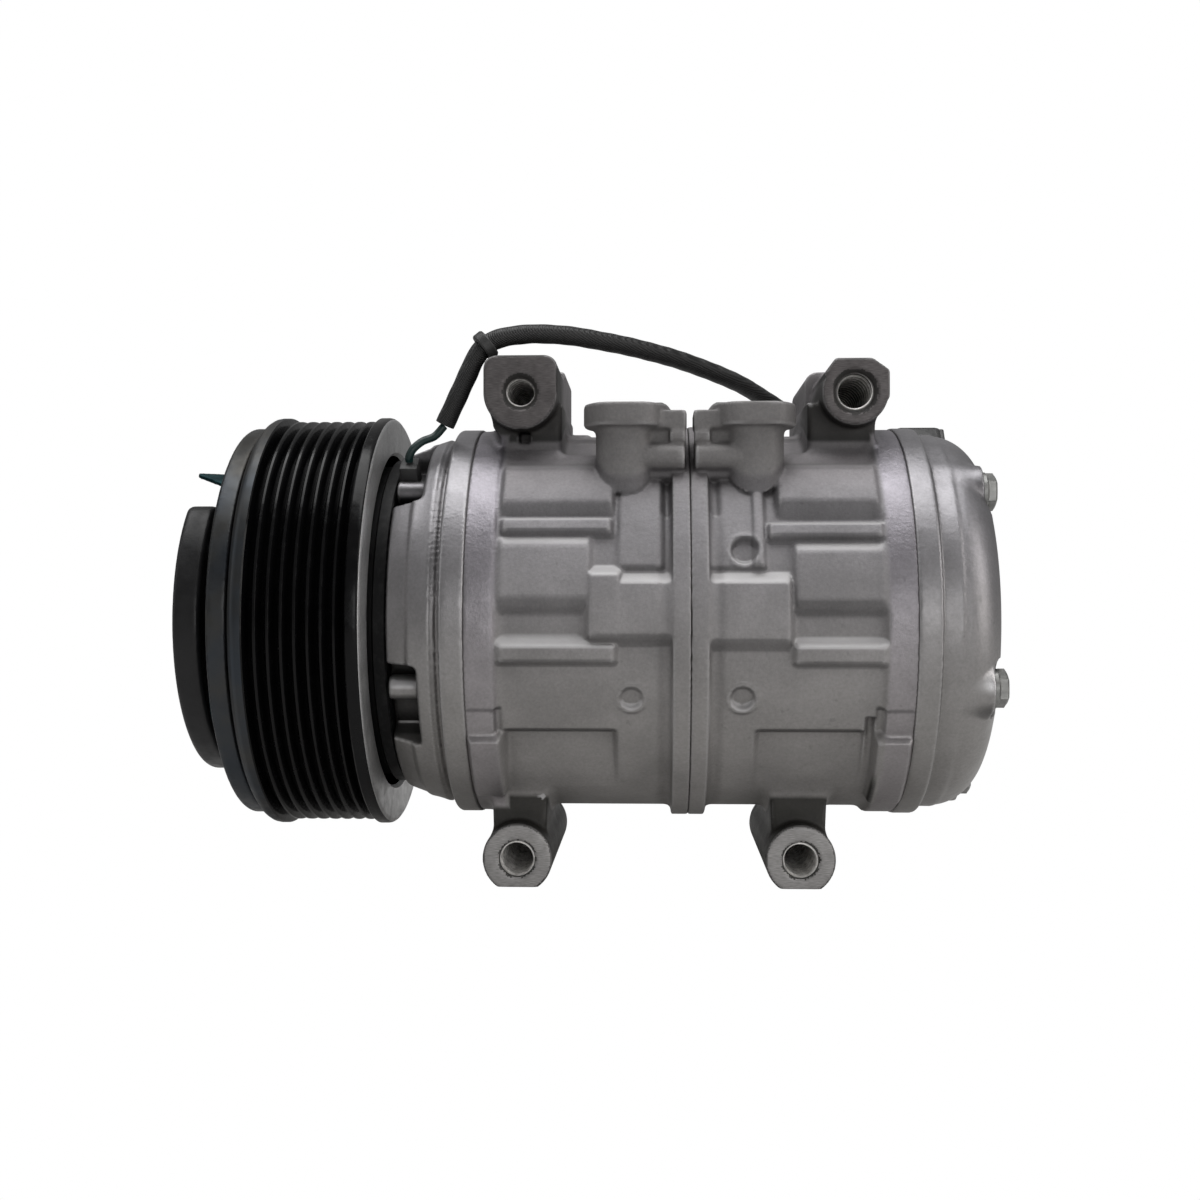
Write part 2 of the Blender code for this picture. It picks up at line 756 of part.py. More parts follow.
def piston_body(index, finish, root):
    """A double-headed piston, bridged outside the disc, with a socket for each shoe."""
    outward = direction(FIRST_PISTON_DEG + 360 / CYLINDERS * index)
    turn = Vector((0, 0, 1)).rotation_difference(outward)
    heads = prism(circle(0, 0, PISTON_R, ROUND), -PISTON_HALF, PISTON_HALF, "X")
    piston = piece(f"piston_{index + 1}", heads, finish, root, ball_centre(index), turn)
    slot = [(-20.0, -20.0), (20.0, -20.0), (20.0, PISTON_BRIDGE), (-20.0, PISTON_BRIDGE)]
    cut(piston, prism(slot, -PISTON_SLOT_HALF, PISTON_SLOT_HALF, "X"))
    for side in (-1, 1):
        low, high = sorted((side * PISTON_BOSS_FACE, side * (PISTON_SLOT_HALF + 1)))
        add(piston, prism(circle(0, 0, PISTON_BOSS_R, COARSE), low, high, "X"))
    socket = bmesh.new()
    bmesh.ops.create_uvsphere(socket, u_segments=14, v_segments=12, radius=POCKET_R)
    bmesh.ops.rotate(socket, verts=socket.verts, cent=(0, 0, 0), matrix=Matrix.Rotation(math.pi / 2, 3, "Y"))
    cut(piston, socket)
    return piston


def shoes_and_pistons(finishes, root):
    turn = tilt_turn()
    for index in range(CYLINDERS):
        centre = ball_centre(index)
        for side, end in ((-1, "front"), (1, "rear")):
            bm = turned(shoe_profile(side), COARSE)
            piece(f"shoe_{index + 1}_{end}", bm, finishes["steel"], root, centre, turn)
        piston_body(index, finishes["piston"], root)


# Clutch lead

def smooth_route(route, steps):
    """Points along a smooth curve through a route's own points."""
    stops = [Vector(stop) for stop in route]
    stops = [2 * stops[0] - stops[1], *stops, 2 * stops[-1] - stops[-2]]
    points = []
    for index in range(1, len(stops) - 2):
        before, start, end, after = stops[index - 1:index + 3]
        for k in range(steps):
            t = k / steps
            points.append(0.5 * (
                2 * start
                + (end - before) * t
                + (2 * before - 5 * start + 4 * end - after) * t ** 2
                + (3 * start - before - 3 * end + after) * t ** 3
            ))
    points.append(stops[-2])
    return points


def tube(name, route, steps, radius, rings, finish, root):
    curve = bpy.data.curves.new(name, "CURVE")
    curve.dimensions = "3D"
    curve.bevel_depth = radius * MM
    curve.bevel_resolution = rings
    curve.use_fill_caps = True
    points = smooth_route(route, steps)
    spline = curve.splines.new("POLY")
    spline.points.add(len(points) - 1)
    for point, place in zip(spline.points, points):
        point.co = (*(place * MM), 1)
    curve.materials.append(finish)
    made = bpy.data.objects.new(name, curve)
    bpy.context.collection.objects.link(made)
    made.parent = root
    return made


def box_around(centre, size):
    bm = bmesh.new()
    bmesh.ops.create_cube(bm, size=1)
    bmesh.ops.scale(bm, verts=bm.verts, vec=Vector(size))
    bmesh.ops.translate(bm, verts=bm.verts, vec=Vector(centre))
    return bm


def clutch_lead(finishes, root):
    tube("lead_wire", WIRE_ROUTE, 2, WIRE_R, 2, finishes["rubber"], root)
    tube("lead_sleeve", LEAD_ROUTE, 1, LEAD_R, 3, finishes["rubber"], root)
    here = Vector(LEAD_ROUTE[5])
    along = (Vector(LEAD_ROUTE[6]) - Vector(LEAD_ROUTE[4])).normalized()
    turn = Vector((1, 0, 0)).rotation_difference(along)
    clip = [(-1.5, 3.2), (-1.5, 4.2), (1.5, 4.2), (1.5, 3.2)]
    piece("lead_clip", turned(clip, COARSE), finishes["plastic"], root, here, turn)
    turn = Quaternion((1, 0, 0), math.radians(CONNECTOR_DEG))
    connector = box_around((75.2, 0, 66.6), (18.4, 14.0, 11.6))
    piece("lead_connector", connector, finishes["plastic"], root, turn=turn)
    plate = box_around((75.2, 0, 60.0), (11.0, 12.0, 0.8))
    bracket = piece("connector_bracket", plate, finishes["plate"], root, turn=turn)
    add(bracket, box_around((72.0, 0, 57.9), (4.0, 8.0, 4.6)))


def build():
    clear_scene()
    root = bpy.data.objects.new("compressor", None)
    bpy.context.collection.objects.link(root)
    root.location = (-(FRONT_END + REAR_END) / 2 * MM, 0, SHAFT_HEIGHT * MM)
    cast = material("cast_aluminium", (0.42, 0.43, 0.42), 0.5, 0.9)
    finishes = {
        "steel": material("bright_steel", (0.62, 0.62, 0.62), 0.3, 1.0),
        "plate": material("steel_plate", (0.45, 0.45, 0.45), 0.4, 1.0),
        "gasket": material("gasket", (0.05, 0.05, 0.05), 0.7, 0.0),
        "iron": material("hub_iron", (0.3, 0.3, 0.3), 0.5, 1.0),
        "bronze": material("coated_disc", (0.45, 0.33, 0.18), 0.35, 1.0),
        "piston": material("piston_aluminium", (0.66, 0.66, 0.66), 0.3, 1.0),
        "black": material("black_paint", (0.015, 0.015, 0.016), 0.25, 0.0),
        "black_steel": material("coil_shell_black", (0.02, 0.02, 0.02), 0.4, 0.0),
        "winding": material("coil_resin", (0.22, 0.09, 0.04), 0.5, 0.0),
        "brass": material("brass_cage", (0.6, 0.45, 0.2), 0.35, 1.0),
        "plastic": material("black_plastic", (0.03, 0.03, 0.03), 0.45, 0.0),
        "rubber": material("lead_sleeving", (0.012, 0.012, 0.012), 0.55, 0.0),
    }
    front_housing(cast, root)
    cylinder_half("front_cylinder", -1, FRONT_PARTING, TOP_FRONT_EAR, LOW_FRONT_EAR, cast, root)
    cylinder_half("rear_cylinder", 1, REAR_PARTING, TOP_REAR_EAR, LOW_REAR_EAR, cast, root)
    rear_housing(cast, root)
    valve_stack(-1, "front", FRONT_PARTING, SHAFT_HOLE_R, finishes, root)
    valve_stack(1, "rear", REAR_PARTING, 0, finishes, root)
    seal_depth = (GAP + SEAL_GROOVE_DEPTH) / 2
    o_ring("front_o_ring", FRONT_PARTING + seal_depth, finishes["gasket"], root)
    o_ring("centre_o_ring", seal_depth, finishes["gasket"], root)
    o_ring("rear_o_ring", REAR_PARTING - seal_depth, finishes["gasket"], root)
    for index in range(CYLINDERS):
        through_bolt(index, finishes["steel"], root)
    running_r = SHAFT_R + GAP / 2
    needle_r = SHAFT_BORE_R - GAP
    sleeve("front_needle_bearing", -42.0, -24.0, running_r, needle_r, finishes["steel"], root)
    sleeve("rear_needle_bearing", 24.0, 42.0, running_r, needle_r, finishes["steel"], root)
    sleeve("shaft_seal", -116.0, -106.0, 6.2, SEAL_HOUSING_R - GAP, finishes["gasket"], root)
    coil(finishes, root)
    pulley_group(finishes, root)
    drive_shaft(finishes["steel"], root)
    sleeve("front_thrust_bearing", -20.6, -16.3, running_r, THRUST_R, finishes["steel"], root)
    sleeve("rear_thrust_bearing", 16.3, 20.6, running_r, THRUST_R, finishes["steel"], root)
    clutch_hub(finishes["black"], root)
    hub_bolt(finishes["steel"], root)
    leaf_spring(finishes["steel"], root)
    armature(finishes["steel"], root)
    swash_plate(finishes, root)
    shoes_and_pistons(finishes, root)
    clutch_lead(finishes, root)


build()
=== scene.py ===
"""Looks for the swash-plate air-conditioning compressor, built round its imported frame.

Sizes are millimetres in the shaft frame: X = 0 at the joint between the two cylinder
halves, Z = 0 on the shaft axis, and angles across the body count from -Y up towards +Z.
The castings are blocks of signed distances, negative in the metal, meshed at zero, so
that ribs, pads, ears and ports run into each other with the fillets of a casting.
"""

import json
import math

import bmesh
import bpy
import numpy as np
from mathutils import Matrix, Vector


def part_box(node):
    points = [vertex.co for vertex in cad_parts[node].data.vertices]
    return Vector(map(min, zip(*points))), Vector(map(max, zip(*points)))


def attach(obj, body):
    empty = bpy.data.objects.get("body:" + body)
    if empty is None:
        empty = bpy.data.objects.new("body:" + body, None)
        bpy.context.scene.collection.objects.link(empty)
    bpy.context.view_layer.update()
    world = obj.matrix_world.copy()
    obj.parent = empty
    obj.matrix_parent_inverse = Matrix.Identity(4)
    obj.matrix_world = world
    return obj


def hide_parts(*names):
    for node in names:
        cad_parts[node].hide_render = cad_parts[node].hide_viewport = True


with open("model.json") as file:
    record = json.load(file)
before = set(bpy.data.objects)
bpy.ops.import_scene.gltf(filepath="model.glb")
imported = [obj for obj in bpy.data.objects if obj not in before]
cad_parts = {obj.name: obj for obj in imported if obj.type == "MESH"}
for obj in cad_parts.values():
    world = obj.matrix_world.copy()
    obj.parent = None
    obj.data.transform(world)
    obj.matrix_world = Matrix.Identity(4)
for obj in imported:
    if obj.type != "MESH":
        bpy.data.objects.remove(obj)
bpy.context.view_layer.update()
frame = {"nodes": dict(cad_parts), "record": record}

MM = 0.001
SHAFT_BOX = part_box("drive_shaft")
FRONT_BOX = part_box("front_cylinder")
REAR_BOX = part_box("rear_cylinder")
ORIGIN = Vector((
    (FRONT_BOX[1].x + REAR_BOX[0].x) / 2,
    (SHAFT_BOX[0].y + SHAFT_BOX[1].y) / 2,
    (SHAFT_BOX[0].z + SHAFT_BOX[1].z) / 2,
))

CASTING_GRID = 0.62
CLUTCH_GRID = 0.55
SPRING_GRID = 0.5
RIM_STEPS = 224
CYLINDER_LIMIT, COVER_LIMIT, CLUTCH_LIMIT, SPRING_LIMIT = 190000, 130000, 60000, 40000

# Casings
PARTING_GAP = 0.08
CENTRE_GAP = 0.05
FRONT_PARTING = -60.4
REAR_PARTING = 59.5
BODY_R = 55.1
FLANGE_R = 57.2
CENTRE_R = 58.8
CENTRE_HALF = 4.9
CHAMBER_R = 50.8
CHAMBER_HALF = 21.0
BORE_CIRCLE_R = 34.5
BORE_R = 16.05
SHAFT_BORE_R = 11.3
CYLINDERS = 5
FIRST_BORE_DEG = 86.0
FIRST_BOLT_DEG = 50.0
BOLT_CIRCLE_R = 47.3
BOLT_HOLE_R = 3.2
BOLT_SEAT = 81.0
STACK_R = 51.3
STACK_DEPTH = 5.25

# Ears: half their length, X and Z of their holes, and the radii of holes and mouths
EAR_HALF = 35.0
TOP_FRONT_EAR = (-47.3, 64.3)
TOP_REAR_EAR = (46.0, 64.0)
LOW_FRONT_EAR = (-48.1, -66.3)
LOW_REAR_EAR = (30.9, -66.3)
TOP_FRONT_HOLE_R, TOP_FRONT_MOUTH_R = 4.2, 5.4
TOP_REAR_HOLE_R, TOP_REAR_MOUTH_R = 5.2, 6.6
LOW_HOLE_R, LOW_MOUTH_R = 4.9, 5.6
BASE = -74.3

# Ports
PORT_X = 17.9
PORT_Y = -37.0
PORT_TOP = 60.0
PORT_BORE_R = 5.0

# Pulley and clutch
PULLEY_FACE = -123.2
PULLEY_BACK = -87.4
PULLEY_R = 61.1
RIB_ROOT_R = 57.0
RIB_CREST_R = 60.05
RIB_PITCH = 3.56
FIRST_RIB = -115.7
RIB_COUNT = 7
ARMATURE_FACE = -123.75
ARMATURE_BACK = -129.3
ARMATURE_INNER_R = 31.5
ARMATURE_R = 58.0
HUB_FACE = -142.8
HUB_R = 45.0
HUB_FLAT = 33.0
SPRING_FACE = -132.2
SPRING_BACK = -131.25
TAB_DEG = 127.0
TAB_CIRCLE_R = 50.0

# Coil terminal and lead
TERMINAL_X = -79.4
TERMINAL_DEG = 57.0
SLEEVE_R = 2.75
WIRE_R = 1.15
CONNECTOR_DEG = -35.0


# ---------------------------------------------------------------- camera, lights, floor

LENS = 43.35
CAMERA_PLACE = Vector((-9.5, -438, 6.1))
CAMERA_TURN_DEG = 2.19
ROOM_STRENGTH = 0.28
FLOOR_GLOW = 0.15
MIDDLE = (0.03, 0, 0.05)


def make_camera():
    data = bpy.data.cameras.new("camera")
    data.lens = LENS
    data.sensor_width = 36
    data.clip_start = 0.01
    made = bpy.data.objects.new("camera", data)
    bpy.context.scene.collection.objects.link(made)
    made.location = ORIGIN + CAMERA_PLACE * MM
    made.rotation_euler = (math.radians(90), 0, math.radians(CAMERA_TURN_DEG))
    bpy.context.scene.camera = made


def area_light(name, place, aim, width, height, power, colour=(1, 1, 1)):
    data = bpy.data.lights.new(name, "AREA")
    data.shape = "RECTANGLE"
    data.size = width
    data.size_y = height
    data.energy = power
    data.color = colour
    made = bpy.data.objects.new(name, data)
    bpy.context.scene.collection.objects.link(made)
    made.location = place
    made.rotation_euler = (Vector(aim) - Vector(place)).to_track_quat("-Z", "Y").to_euler()


def make_studio():
    """A dim room that the camera sees as white, a large light above, a fill and two strips."""
    world = bpy.data.worlds.new("studio")
    bpy.context.scene.world = world
    world.use_nodes = True
    tree = world.node_tree
    room = tree.nodes["Background"]
    room.inputs["Color"].default_value = (1, 1, 1, 1)
    room.inputs["Strength"].default_value = ROOM_STRENGTH
    white = tree.nodes.new("ShaderNodeBackground")
    white.inputs["Color"].default_value = (1, 1, 1, 1)
    white.inputs["Strength"].default_value = 1.0
    path = tree.nodes.new("ShaderNodeLightPath")
    mixed = tree.nodes.new("ShaderNodeMixShader")
    tree.links.new(path.outputs["Is Camera Ray"], mixed.inputs["Fac"])
    tree.links.new(room.outputs["Background"], mixed.inputs[1])
    tree.links.new(white.outputs["Background"], mixed.inputs[2])
    tree.links.new(mixed.outputs["Shader"], tree.nodes["World Output"].inputs["Surface"])
    area_light("top_softbox", (0.0, -0.12, 0.95), MIDDLE, 1.1, 0.62, 8.0)
    area_light("front_fill", (0.35, -1.3, 0.12), (0.04, 0, 0.05), 0.9, 0.7, 4.4)
    area_light("left_strip", (-0.8, -0.3, 0.45), (-0.08, 0, 0.09), 0.25, 0.9, 0.8)
    area_light("right_strip", (0.85, -0.35, 0.3), (0.1, 0, 0.06), 0.3, 0.9, 2.6, (1.0, 0.97, 0.95))
    settings = bpy.context.scene.view_settings
    settings.view_transform = "Standard"
    settings.look = "None"


def make_floor():
    """A grey floor that glows faintly on the part and that the camera sees as plain white."""
    bm = bmesh.new()
    bmesh.ops.create_grid(bm, x_segments=24, y_segments=24, size=8)
    mesh = bpy.data.meshes.new("floor")
    bm.to_mesh(mesh)
    bm.free()
    floor = bpy.data.objects.new("floor", mesh)
    bpy.context.scene.collection.objects.link(floor)
    made = Finish("pale_floor", 0.9, 0.0, Specular_IOR_Level=0.1)
    made.shader.inputs["Base Color"].default_value = (0.5, 0.5, 0.5, 1)
    made.shader.inputs["Emission Color"].default_value = (1.0, 0.97, 0.94, 1)
    made.shader.inputs["Emission Strength"].default_value = FLOOR_GLOW
    white = made.node("ShaderNodeEmission")
    white.inputs["Color"].default_value = (1, 1, 1, 1)
    path = made.node("ShaderNodeLightPath")
    mixed = made.node("ShaderNodeMixShader")
    made.link(path.outputs["Is Camera Ray"], mixed.inputs["Fac"])
    made.link(made.shader.outputs["BSDF"], mixed.inputs[1])
    made.link(white.outputs["Emission"], mixed.inputs[2])
    made.link(mixed.outputs["Shader"], made.tree.nodes["Material Output"].inputs["Surface"])
    mesh.materials.append(made.material)


# ---------------------------------------------------------------- materials

class Finish:
    """A Principled material built up from procedural patterns in the part's own frame."""

    def __init__(self, name, roughness, metallic, **sockets):
        self.material = bpy.data.materials.new(name)
        self.material.use_nodes = True
        self.tree = self.material.node_tree
        self.shader = self.tree.nodes["Principled BSDF"]
        self.shader.inputs["Roughness"].default_value = roughness
        self.shader.inputs["Metallic"].default_value = metallic
        for socket, value in sockets.items():
            self.shader.inputs[socket.replace("_", " ")].default_value = value
        self.place = self.tree.nodes.new("ShaderNodeTexCoord").outputs["Object"]
        self.normal = None

    def node(self, kind, **values):
        made = self.tree.nodes.new(kind)
        for name, value in values.items():
            setattr(made, name, value)
        return made

    def link(self, source, target):
        self.tree.links.new(source, target)

    def put(self, value, socket):
        """Links an output to a socket, or sets the socket to a number or a colour."""
        if hasattr(value, "is_output"):
            self.link(value, socket)
        else:
            socket.default_value = (*value, 1) if hasattr(value, "__len__") else value

    def noise(self, size, detail=3.0, roughness=0.55, stretch=(1, 1, 1)):
        """Noise whose features are about size millimetres across."""
        place = self.place
        if stretch != (1, 1, 1):
            mapping = self.node("ShaderNodeMapping")
            mapping.inputs["Scale"].default_value = stretch
            self.link(place, mapping.inputs["Vector"])
            place = mapping.outputs["Vector"]
        made = self.node("ShaderNodeTexNoise")
        made.inputs["Scale"].default_value = 1 / (size * MM)
        made.inputs["Detail"].default_value = detail
        made.inputs["Roughness"].default_value = roughness
        self.link(place, made.inputs["Vector"])
        return made.outputs["Fac"]

    def ramp(self, factor, low, high, first, second):
        """first below low, second above high, and an even change between."""
        made = self.node("ShaderNodeValToRGB")
        for stop, position, tone in zip(made.color_ramp.elements, (low, high), (first, second)):
            stop.position = position
            stop.color = (*tone, 1) if hasattr(tone, "__len__") else (tone, tone, tone, 1)
        self.link(factor, made.inputs["Fac"])
        return made.outputs["Color"]

    def mix(self, factor, one, other, blend="MIX"):
        made = self.node("ShaderNodeMix", data_type="RGBA", blend_type=blend)
        for value, socket in ((factor, "Factor"), (one, "A"), (other, "B")):
            self.put(value, made.inputs[socket])
        return made.outputs["Result"]

    def darkened(self, tone, factor, shade):
        """The tone where the factor is 0, and the tone times a shade where it is 1."""
        return self.mix(1.0, tone, self.ramp(factor, 0.0, 1.0, 1.0, shade), "MULTIPLY")

    def colour(self, source):
        self.link(source, self.shader.inputs["Base Color"])

    def roughness(self, source):
        self.link(source, self.shader.inputs["Roughness"])

    def bump(self, height, depth):
        """Another layer of relief, depth millimetres deep."""
        made = self.node("ShaderNodeBump")
        made.inputs["Strength"].default_value = 1.0
        made.inputs["Distance"].default_value = depth * MM
        self.link(height, made.inputs["Height"])
        if self.normal is not None:
            self.link(self.normal, made.inputs["Normal"])
        self.normal = made.outputs["Normal"]
        self.link(self.normal, self.shader.inputs["Normal"])

    def math(self, operation, one, other=0.0):
        made = self.node("ShaderNodeMath", operation=operation)
        self.put(one, made.inputs[0])
        self.put(other, made.inputs[1])
        return made.outputs[0]

    def product(self, *values):
        whole = values[0]
        for value in values[1:]:
            whole = self.math("MULTIPLY", whole, value)
        return whole

    def ease(self, value, low, high):
        """0 at low and 1 at high, with a smooth change between."""
        made = self.node("ShaderNodeMapRange", interpolation_type="SMOOTHSTEP")
        made.inputs["From Min"].default_value = min(low, high)
        made.inputs["From Max"].default_value = max(low, high)
        made.inputs["To Min"].default_value = 0.0 if low < high else 1.0
        made.inputs["To Max"].default_value = 1.0 if low < high else 0.0
        self.link(value, made.inputs["Value"])
        return made.outputs["Result"]

    def shaft_place(self):
        """X, Y, Z and the distance from the shaft, in millimetres in the shaft frame."""
        split = self.node("ShaderNodeSeparateXYZ")
        self.link(self.place, split.inputs["Vector"])
        x, y, z = (
            self.product(self.math("SUBTRACT", split.outputs[axis], offset), 1 / MM)
            for axis, offset in zip("XYZ", ORIGIN)
        )
        return x, y, z, self.distance(y, z)

    def distance(self, u, v):
        return self.math("SQRT", self.math("ADD", self.product(u, u), self.product(v, v)))

    def edges(self, low, high):
        """0 on flats, 1 on convex edges."""
        return self.ramp(self.node("ShaderNodeNewGeometry").outputs["Pointiness"], low, high, 0.0, 1.0)


def cast_finish(name, dark, light, roughness, metallic, relief=1.0, blasted=False):
    """Cast, bead-blasted aluminium: a fine grain, cloudy tone, edges paler from rubbing and a painted
    highlight, painted shade in the creases.

    Ledges that face up are paler, a painted highlight, and undersides darker, a painted shade, than the
    round of the casing.
    The downward walls of the lower recesses carry a painted shadow, and a tint paints warm bounce light low
    down and darker, cooler tops.
    The blasted cylinder halves also have painted shade on the near halves of their upper ears, on the lower
    ears and on the necks, darker ports, tops darker as painted shade and brighter bands at their flanges.
    The covers instead have painted shade inside, at the front end.
    """
    made = Finish(name, roughness, metallic)
    ease, product = made.ease, made.product
    tone = made.ramp(made.noise(22, 4), 0.35, 0.68, dark, light)
    tone = made.mix(1.0, tone, made.ramp(made.noise(0.9, 4, 0.7), 0.35, 0.7, 0.90, 1.08), "MULTIPLY")
    tone = made.mix(1.0, tone, made.ramp(made.noise(2.6, 2), 0.66, 0.76, 1.0, 0.86), "MULTIPLY")
    x, y, z, reach = made.shaft_place()
    facing = made.node("ShaderNodeSeparateXYZ")
    made.link(made.node("ShaderNodeNewGeometry").outputs["Normal"], facing.inputs["Vector"])
    tilt = made.math("SUBTRACT", facing.outputs["Z"], made.math("DIVIDE", z, reach))
    # Painted light by facing: ledges that face up get a painted highlight, undersides a painted shade, and
    # the downward walls of the lower recesses a painted shadow.
    ledge_highlight = product(ease(tilt, 0.10, 0.42), ease(z, -34.0, -22.0))
    under = ease(tilt, -0.06, -0.38)
    low_wall_shadow = product(ease(tilt, -0.03, -0.2), ease(z, -18.0, -26.0), ease(reach, 50.0, 52.0))
    rough = roughness
    if blasted:
        across = made.math("ABSOLUTE", x)
        off = ease(reach, 59.0, 60.6)
        casing = made.math("SUBTRACT", 1.0, off)
        ledge_highlight, under = product(ledge_highlight, casing), product(under, casing)
        near = product(ease(y, 0.0, -24.0), ease(across, 30.0, 33.0))
        inboard = product(ease(across, 9.0, 11.0), ease(across, 51.5, 50.5))
        # Painted shade: the ear zone goes very dark on the near halves of the upper ears and their webs, on
        # the lower ears with their webs, and on the necks under the body.
        ear = product(off, near)
        for zone in (
            product(off, ease(z, -48.0, -56.0)),
            product(ease(reach, 56.3, 57.6), ease(z, -40.0, -46.0), inboard),
            product(ease(reach, 57.6, 58.8), ease(z, 45.0, 48.0), near, inboard),
        ):
            ear = made.math("MAXIMUM", ear, zone)
        band = product(ease(across, 51.4, 52.8), casing)
        for zone, shade in (
            (product(off, ease(across, 33.0, 29.5)), (0.86, 0.875, 0.84)),
            (ear, (0.135, 0.133, 0.122)),
            # Painted shade: the upper flanks, from 28 to 44 mm up, a little darker.
            (product(ease(z, 28.0, 44.0), ease(across, 52.0, 50.8)), (0.84, 0.82, 0.81)),
            (band, (1.10, 1.08, 1.13)),
        ):
            tone = made.darkened(tone, zone, shade)
        made.link(made.math("ADD", metallic, product(band, 0.4)), made.shader.inputs["Metallic"])
        rough = made.math("SUBTRACT", roughness, product(band, 0.16))
    else:
        # Painted shade: the front cover's inside, nearer the shaft than its skirt and seen through the
        # windows, goes nearly black.
        tone = made.darkened(tone, product(ease(reach, 49.6, 47.6), ease(x, -66.0, -67.0)), 0.16)
    # Painted light: paler and warmer low down, as a warm bounce from below, and darker and cooler towards
    # the top.
    bounce_tint_by_height = made.ramp(ease(z, -35.0, 35.0), 0.0, 1.0, (1.0, 0.98, 0.945), (0.87, 0.857, 0.89))
    tone = made.mix(1.0, tone, bounce_tint_by_height, "MULTIPLY")
    # Pale tone for the painted highlight on up-facing ledges and for the paler edges.
    pale = tuple(min(1.0, 1.55 * c) for c in light)
    tone = made.mix(product(ledge_highlight, 0.85), tone, pale)
    # Painted shade on the undersides and a painted shadow on the lower recess walls.
    tone = made.darkened(tone, under, 0.62)
    tone = made.darkened(tone, low_wall_shadow, 0.6)
    # Convex edges paler: wear from rubbing and a painted highlight.
    tone = made.mix(made.edges(0.52, 0.60), tone, pale)
    # Painted shade: ambient occlusion darkens the creases and corners.
    creases = made.node("ShaderNodeAmbientOcclusion", samples=6)
    creases.inputs["Distance"].default_value = 5 * MM
    crease_shade = made.ramp(creases.outputs["AO"], 0.35, 0.95, (0.46, 0.45, 0.44), 1.0)
    made.colour(made.mix(1.0, tone, crease_shade, "MULTIPLY"))
    uneven = product(made.math("SUBTRACT", made.noise(5, 3), 0.5), 0.2)
    made.roughness(made.math("ADD", rough, uneven))
    made.bump(made.noise(0.8, 4, 0.7), 0.10 * relief)
    made.bump(made.noise(3.5, 3), 0.16 * relief)
    return made.material


def machined_finish(name, dark, light, roughness, metallic=0.85):
    """Turned or milled metal with faint tool marks."""
    made = Finish(name, roughness, metallic)
    marks = made.noise(0.5, 2, 0.5, (0.25, 1, 3))
    tone = made.ramp(marks, 0.3, 0.7, dark, light)
    stains = made.ramp(made.noise(6, 3), 0.45, 0.75, 1.0, 0.84)
    made.colour(made.mix(1.0, tone, stains, "MULTIPLY"))
    made.roughness(made.ramp(made.noise(3, 3), 0.3, 0.7, roughness - 0.08, roughness + 0.08))
    made.bump(marks, 0.03)
    return made.material


def gloss_black(name, tone, roughness, worn, shine=0.3):
    """Baked black paint with a slight orange peel, dust and lighter worn edges."""
    made = Finish(name, roughness, 0.0, Specular_IOR_Level=shine)
    paint = made.ramp(made.noise(14, 4), 0.3, 0.75, tone, tuple(c * 1.7 for c in tone))
    steel = made.ramp(made.noise(1.5, 3), 0.2, 0.8, worn, tuple(c * 1.3 for c in worn))
    flakes = made.ramp(made.noise(1.8, 4), 0.5, 0.62, 0.0, 1.0)
    chips = made.mix(1.0, made.edges(0.56, 0.66), flakes, "MULTIPLY")
    made.colour(made.mix(chips, paint, steel))
    made.roughness(made.ramp(made.noise(4, 4), 0.3, 0.7, roughness - 0.05, roughness + 0.16))
    made.bump(made.noise(1.4, 2), 0.035)
    return made.material


def plain_metal(name, dark, light, roughness, grain=1.2):
    made = Finish(name, roughness, 1.0)
    tone = made.ramp(made.noise(grain, 3, 0.6, (0.3, 1, 1)), 0.3, 0.7, dark, light)
    spots = made.ramp(made.noise(7, 3), 0.5, 0.75, 1.0, 0.82)
    made.colour(made.mix(1.0, tone, spots, "MULTIPLY"))
    made.roughness(made.ramp(made.noise(2.5, 3), 0.3, 0.7, roughness - 0.07, roughness + 0.1))
    made.bump(made.noise(grain, 3), 0.04)
    return made.material


def thread_finish(name, ear, root_r, crest_r, root):
    """Thread crests near white, bare steel brightened as painted light in the hole, and darker roots, in a
    hole along Y.
    """
    made = Finish(name, 0.34, 0.4)
    x, _, z, _ = made.shaft_place()
    away = made.distance(made.math("SUBTRACT", x, ear[0]), made.math("SUBTRACT", z, ear[1]))
    # Painted light: the crests go near white, as if lit inside the hole; the roots take the given tone.
    tone = made.ramp(made.ease(away, root_r - 0.12, crest_r + 0.08), 0.0, 1.0, root, (0.92, 0.90, 0.87))
    rough_cut = made.ramp(made.noise(1.6, 4, 0.7), 0.35, 0.65, 0.55, 1.1)
    made.colour(made.mix(1.0, tone, rough_cut, "MULTIPLY"))
    made.bump(made.noise(1.5, 3), 0.05)
    return made.material


def ringed_steel(name, dark, light, roughness):
    """Plate steel turned on its face: rings about the shaft, and a faint blue zinc film."""
    made = Finish(name, roughness, 0.95, Anisotropic=0.5)
    reach = made.shaft_place()[3]
    rings = made.node("ShaderNodeTexNoise", noise_dimensions="1D")
    rings.inputs["Scale"].default_value = 2600 * MM
    rings.inputs["Detail"].default_value = 3
    made.link(reach, rings.inputs["W"])
    tone = made.ramp(rings.outputs["Fac"], 0.3, 0.7, dark, light)
    film = made.ramp(made.noise(18, 3), 0.35, 0.7, (0.72, 0.84, 1.0), (1.0, 0.97, 0.9))
    made.colour(made.mix(1.0, tone, film, "MULTIPLY"))
    made.roughness(made.ramp(made.noise(5, 3), 0.3, 0.7, roughness - 0.06, roughness + 0.12))
    made.bump(rings.outputs["Fac"], 0.03)
    return made.material


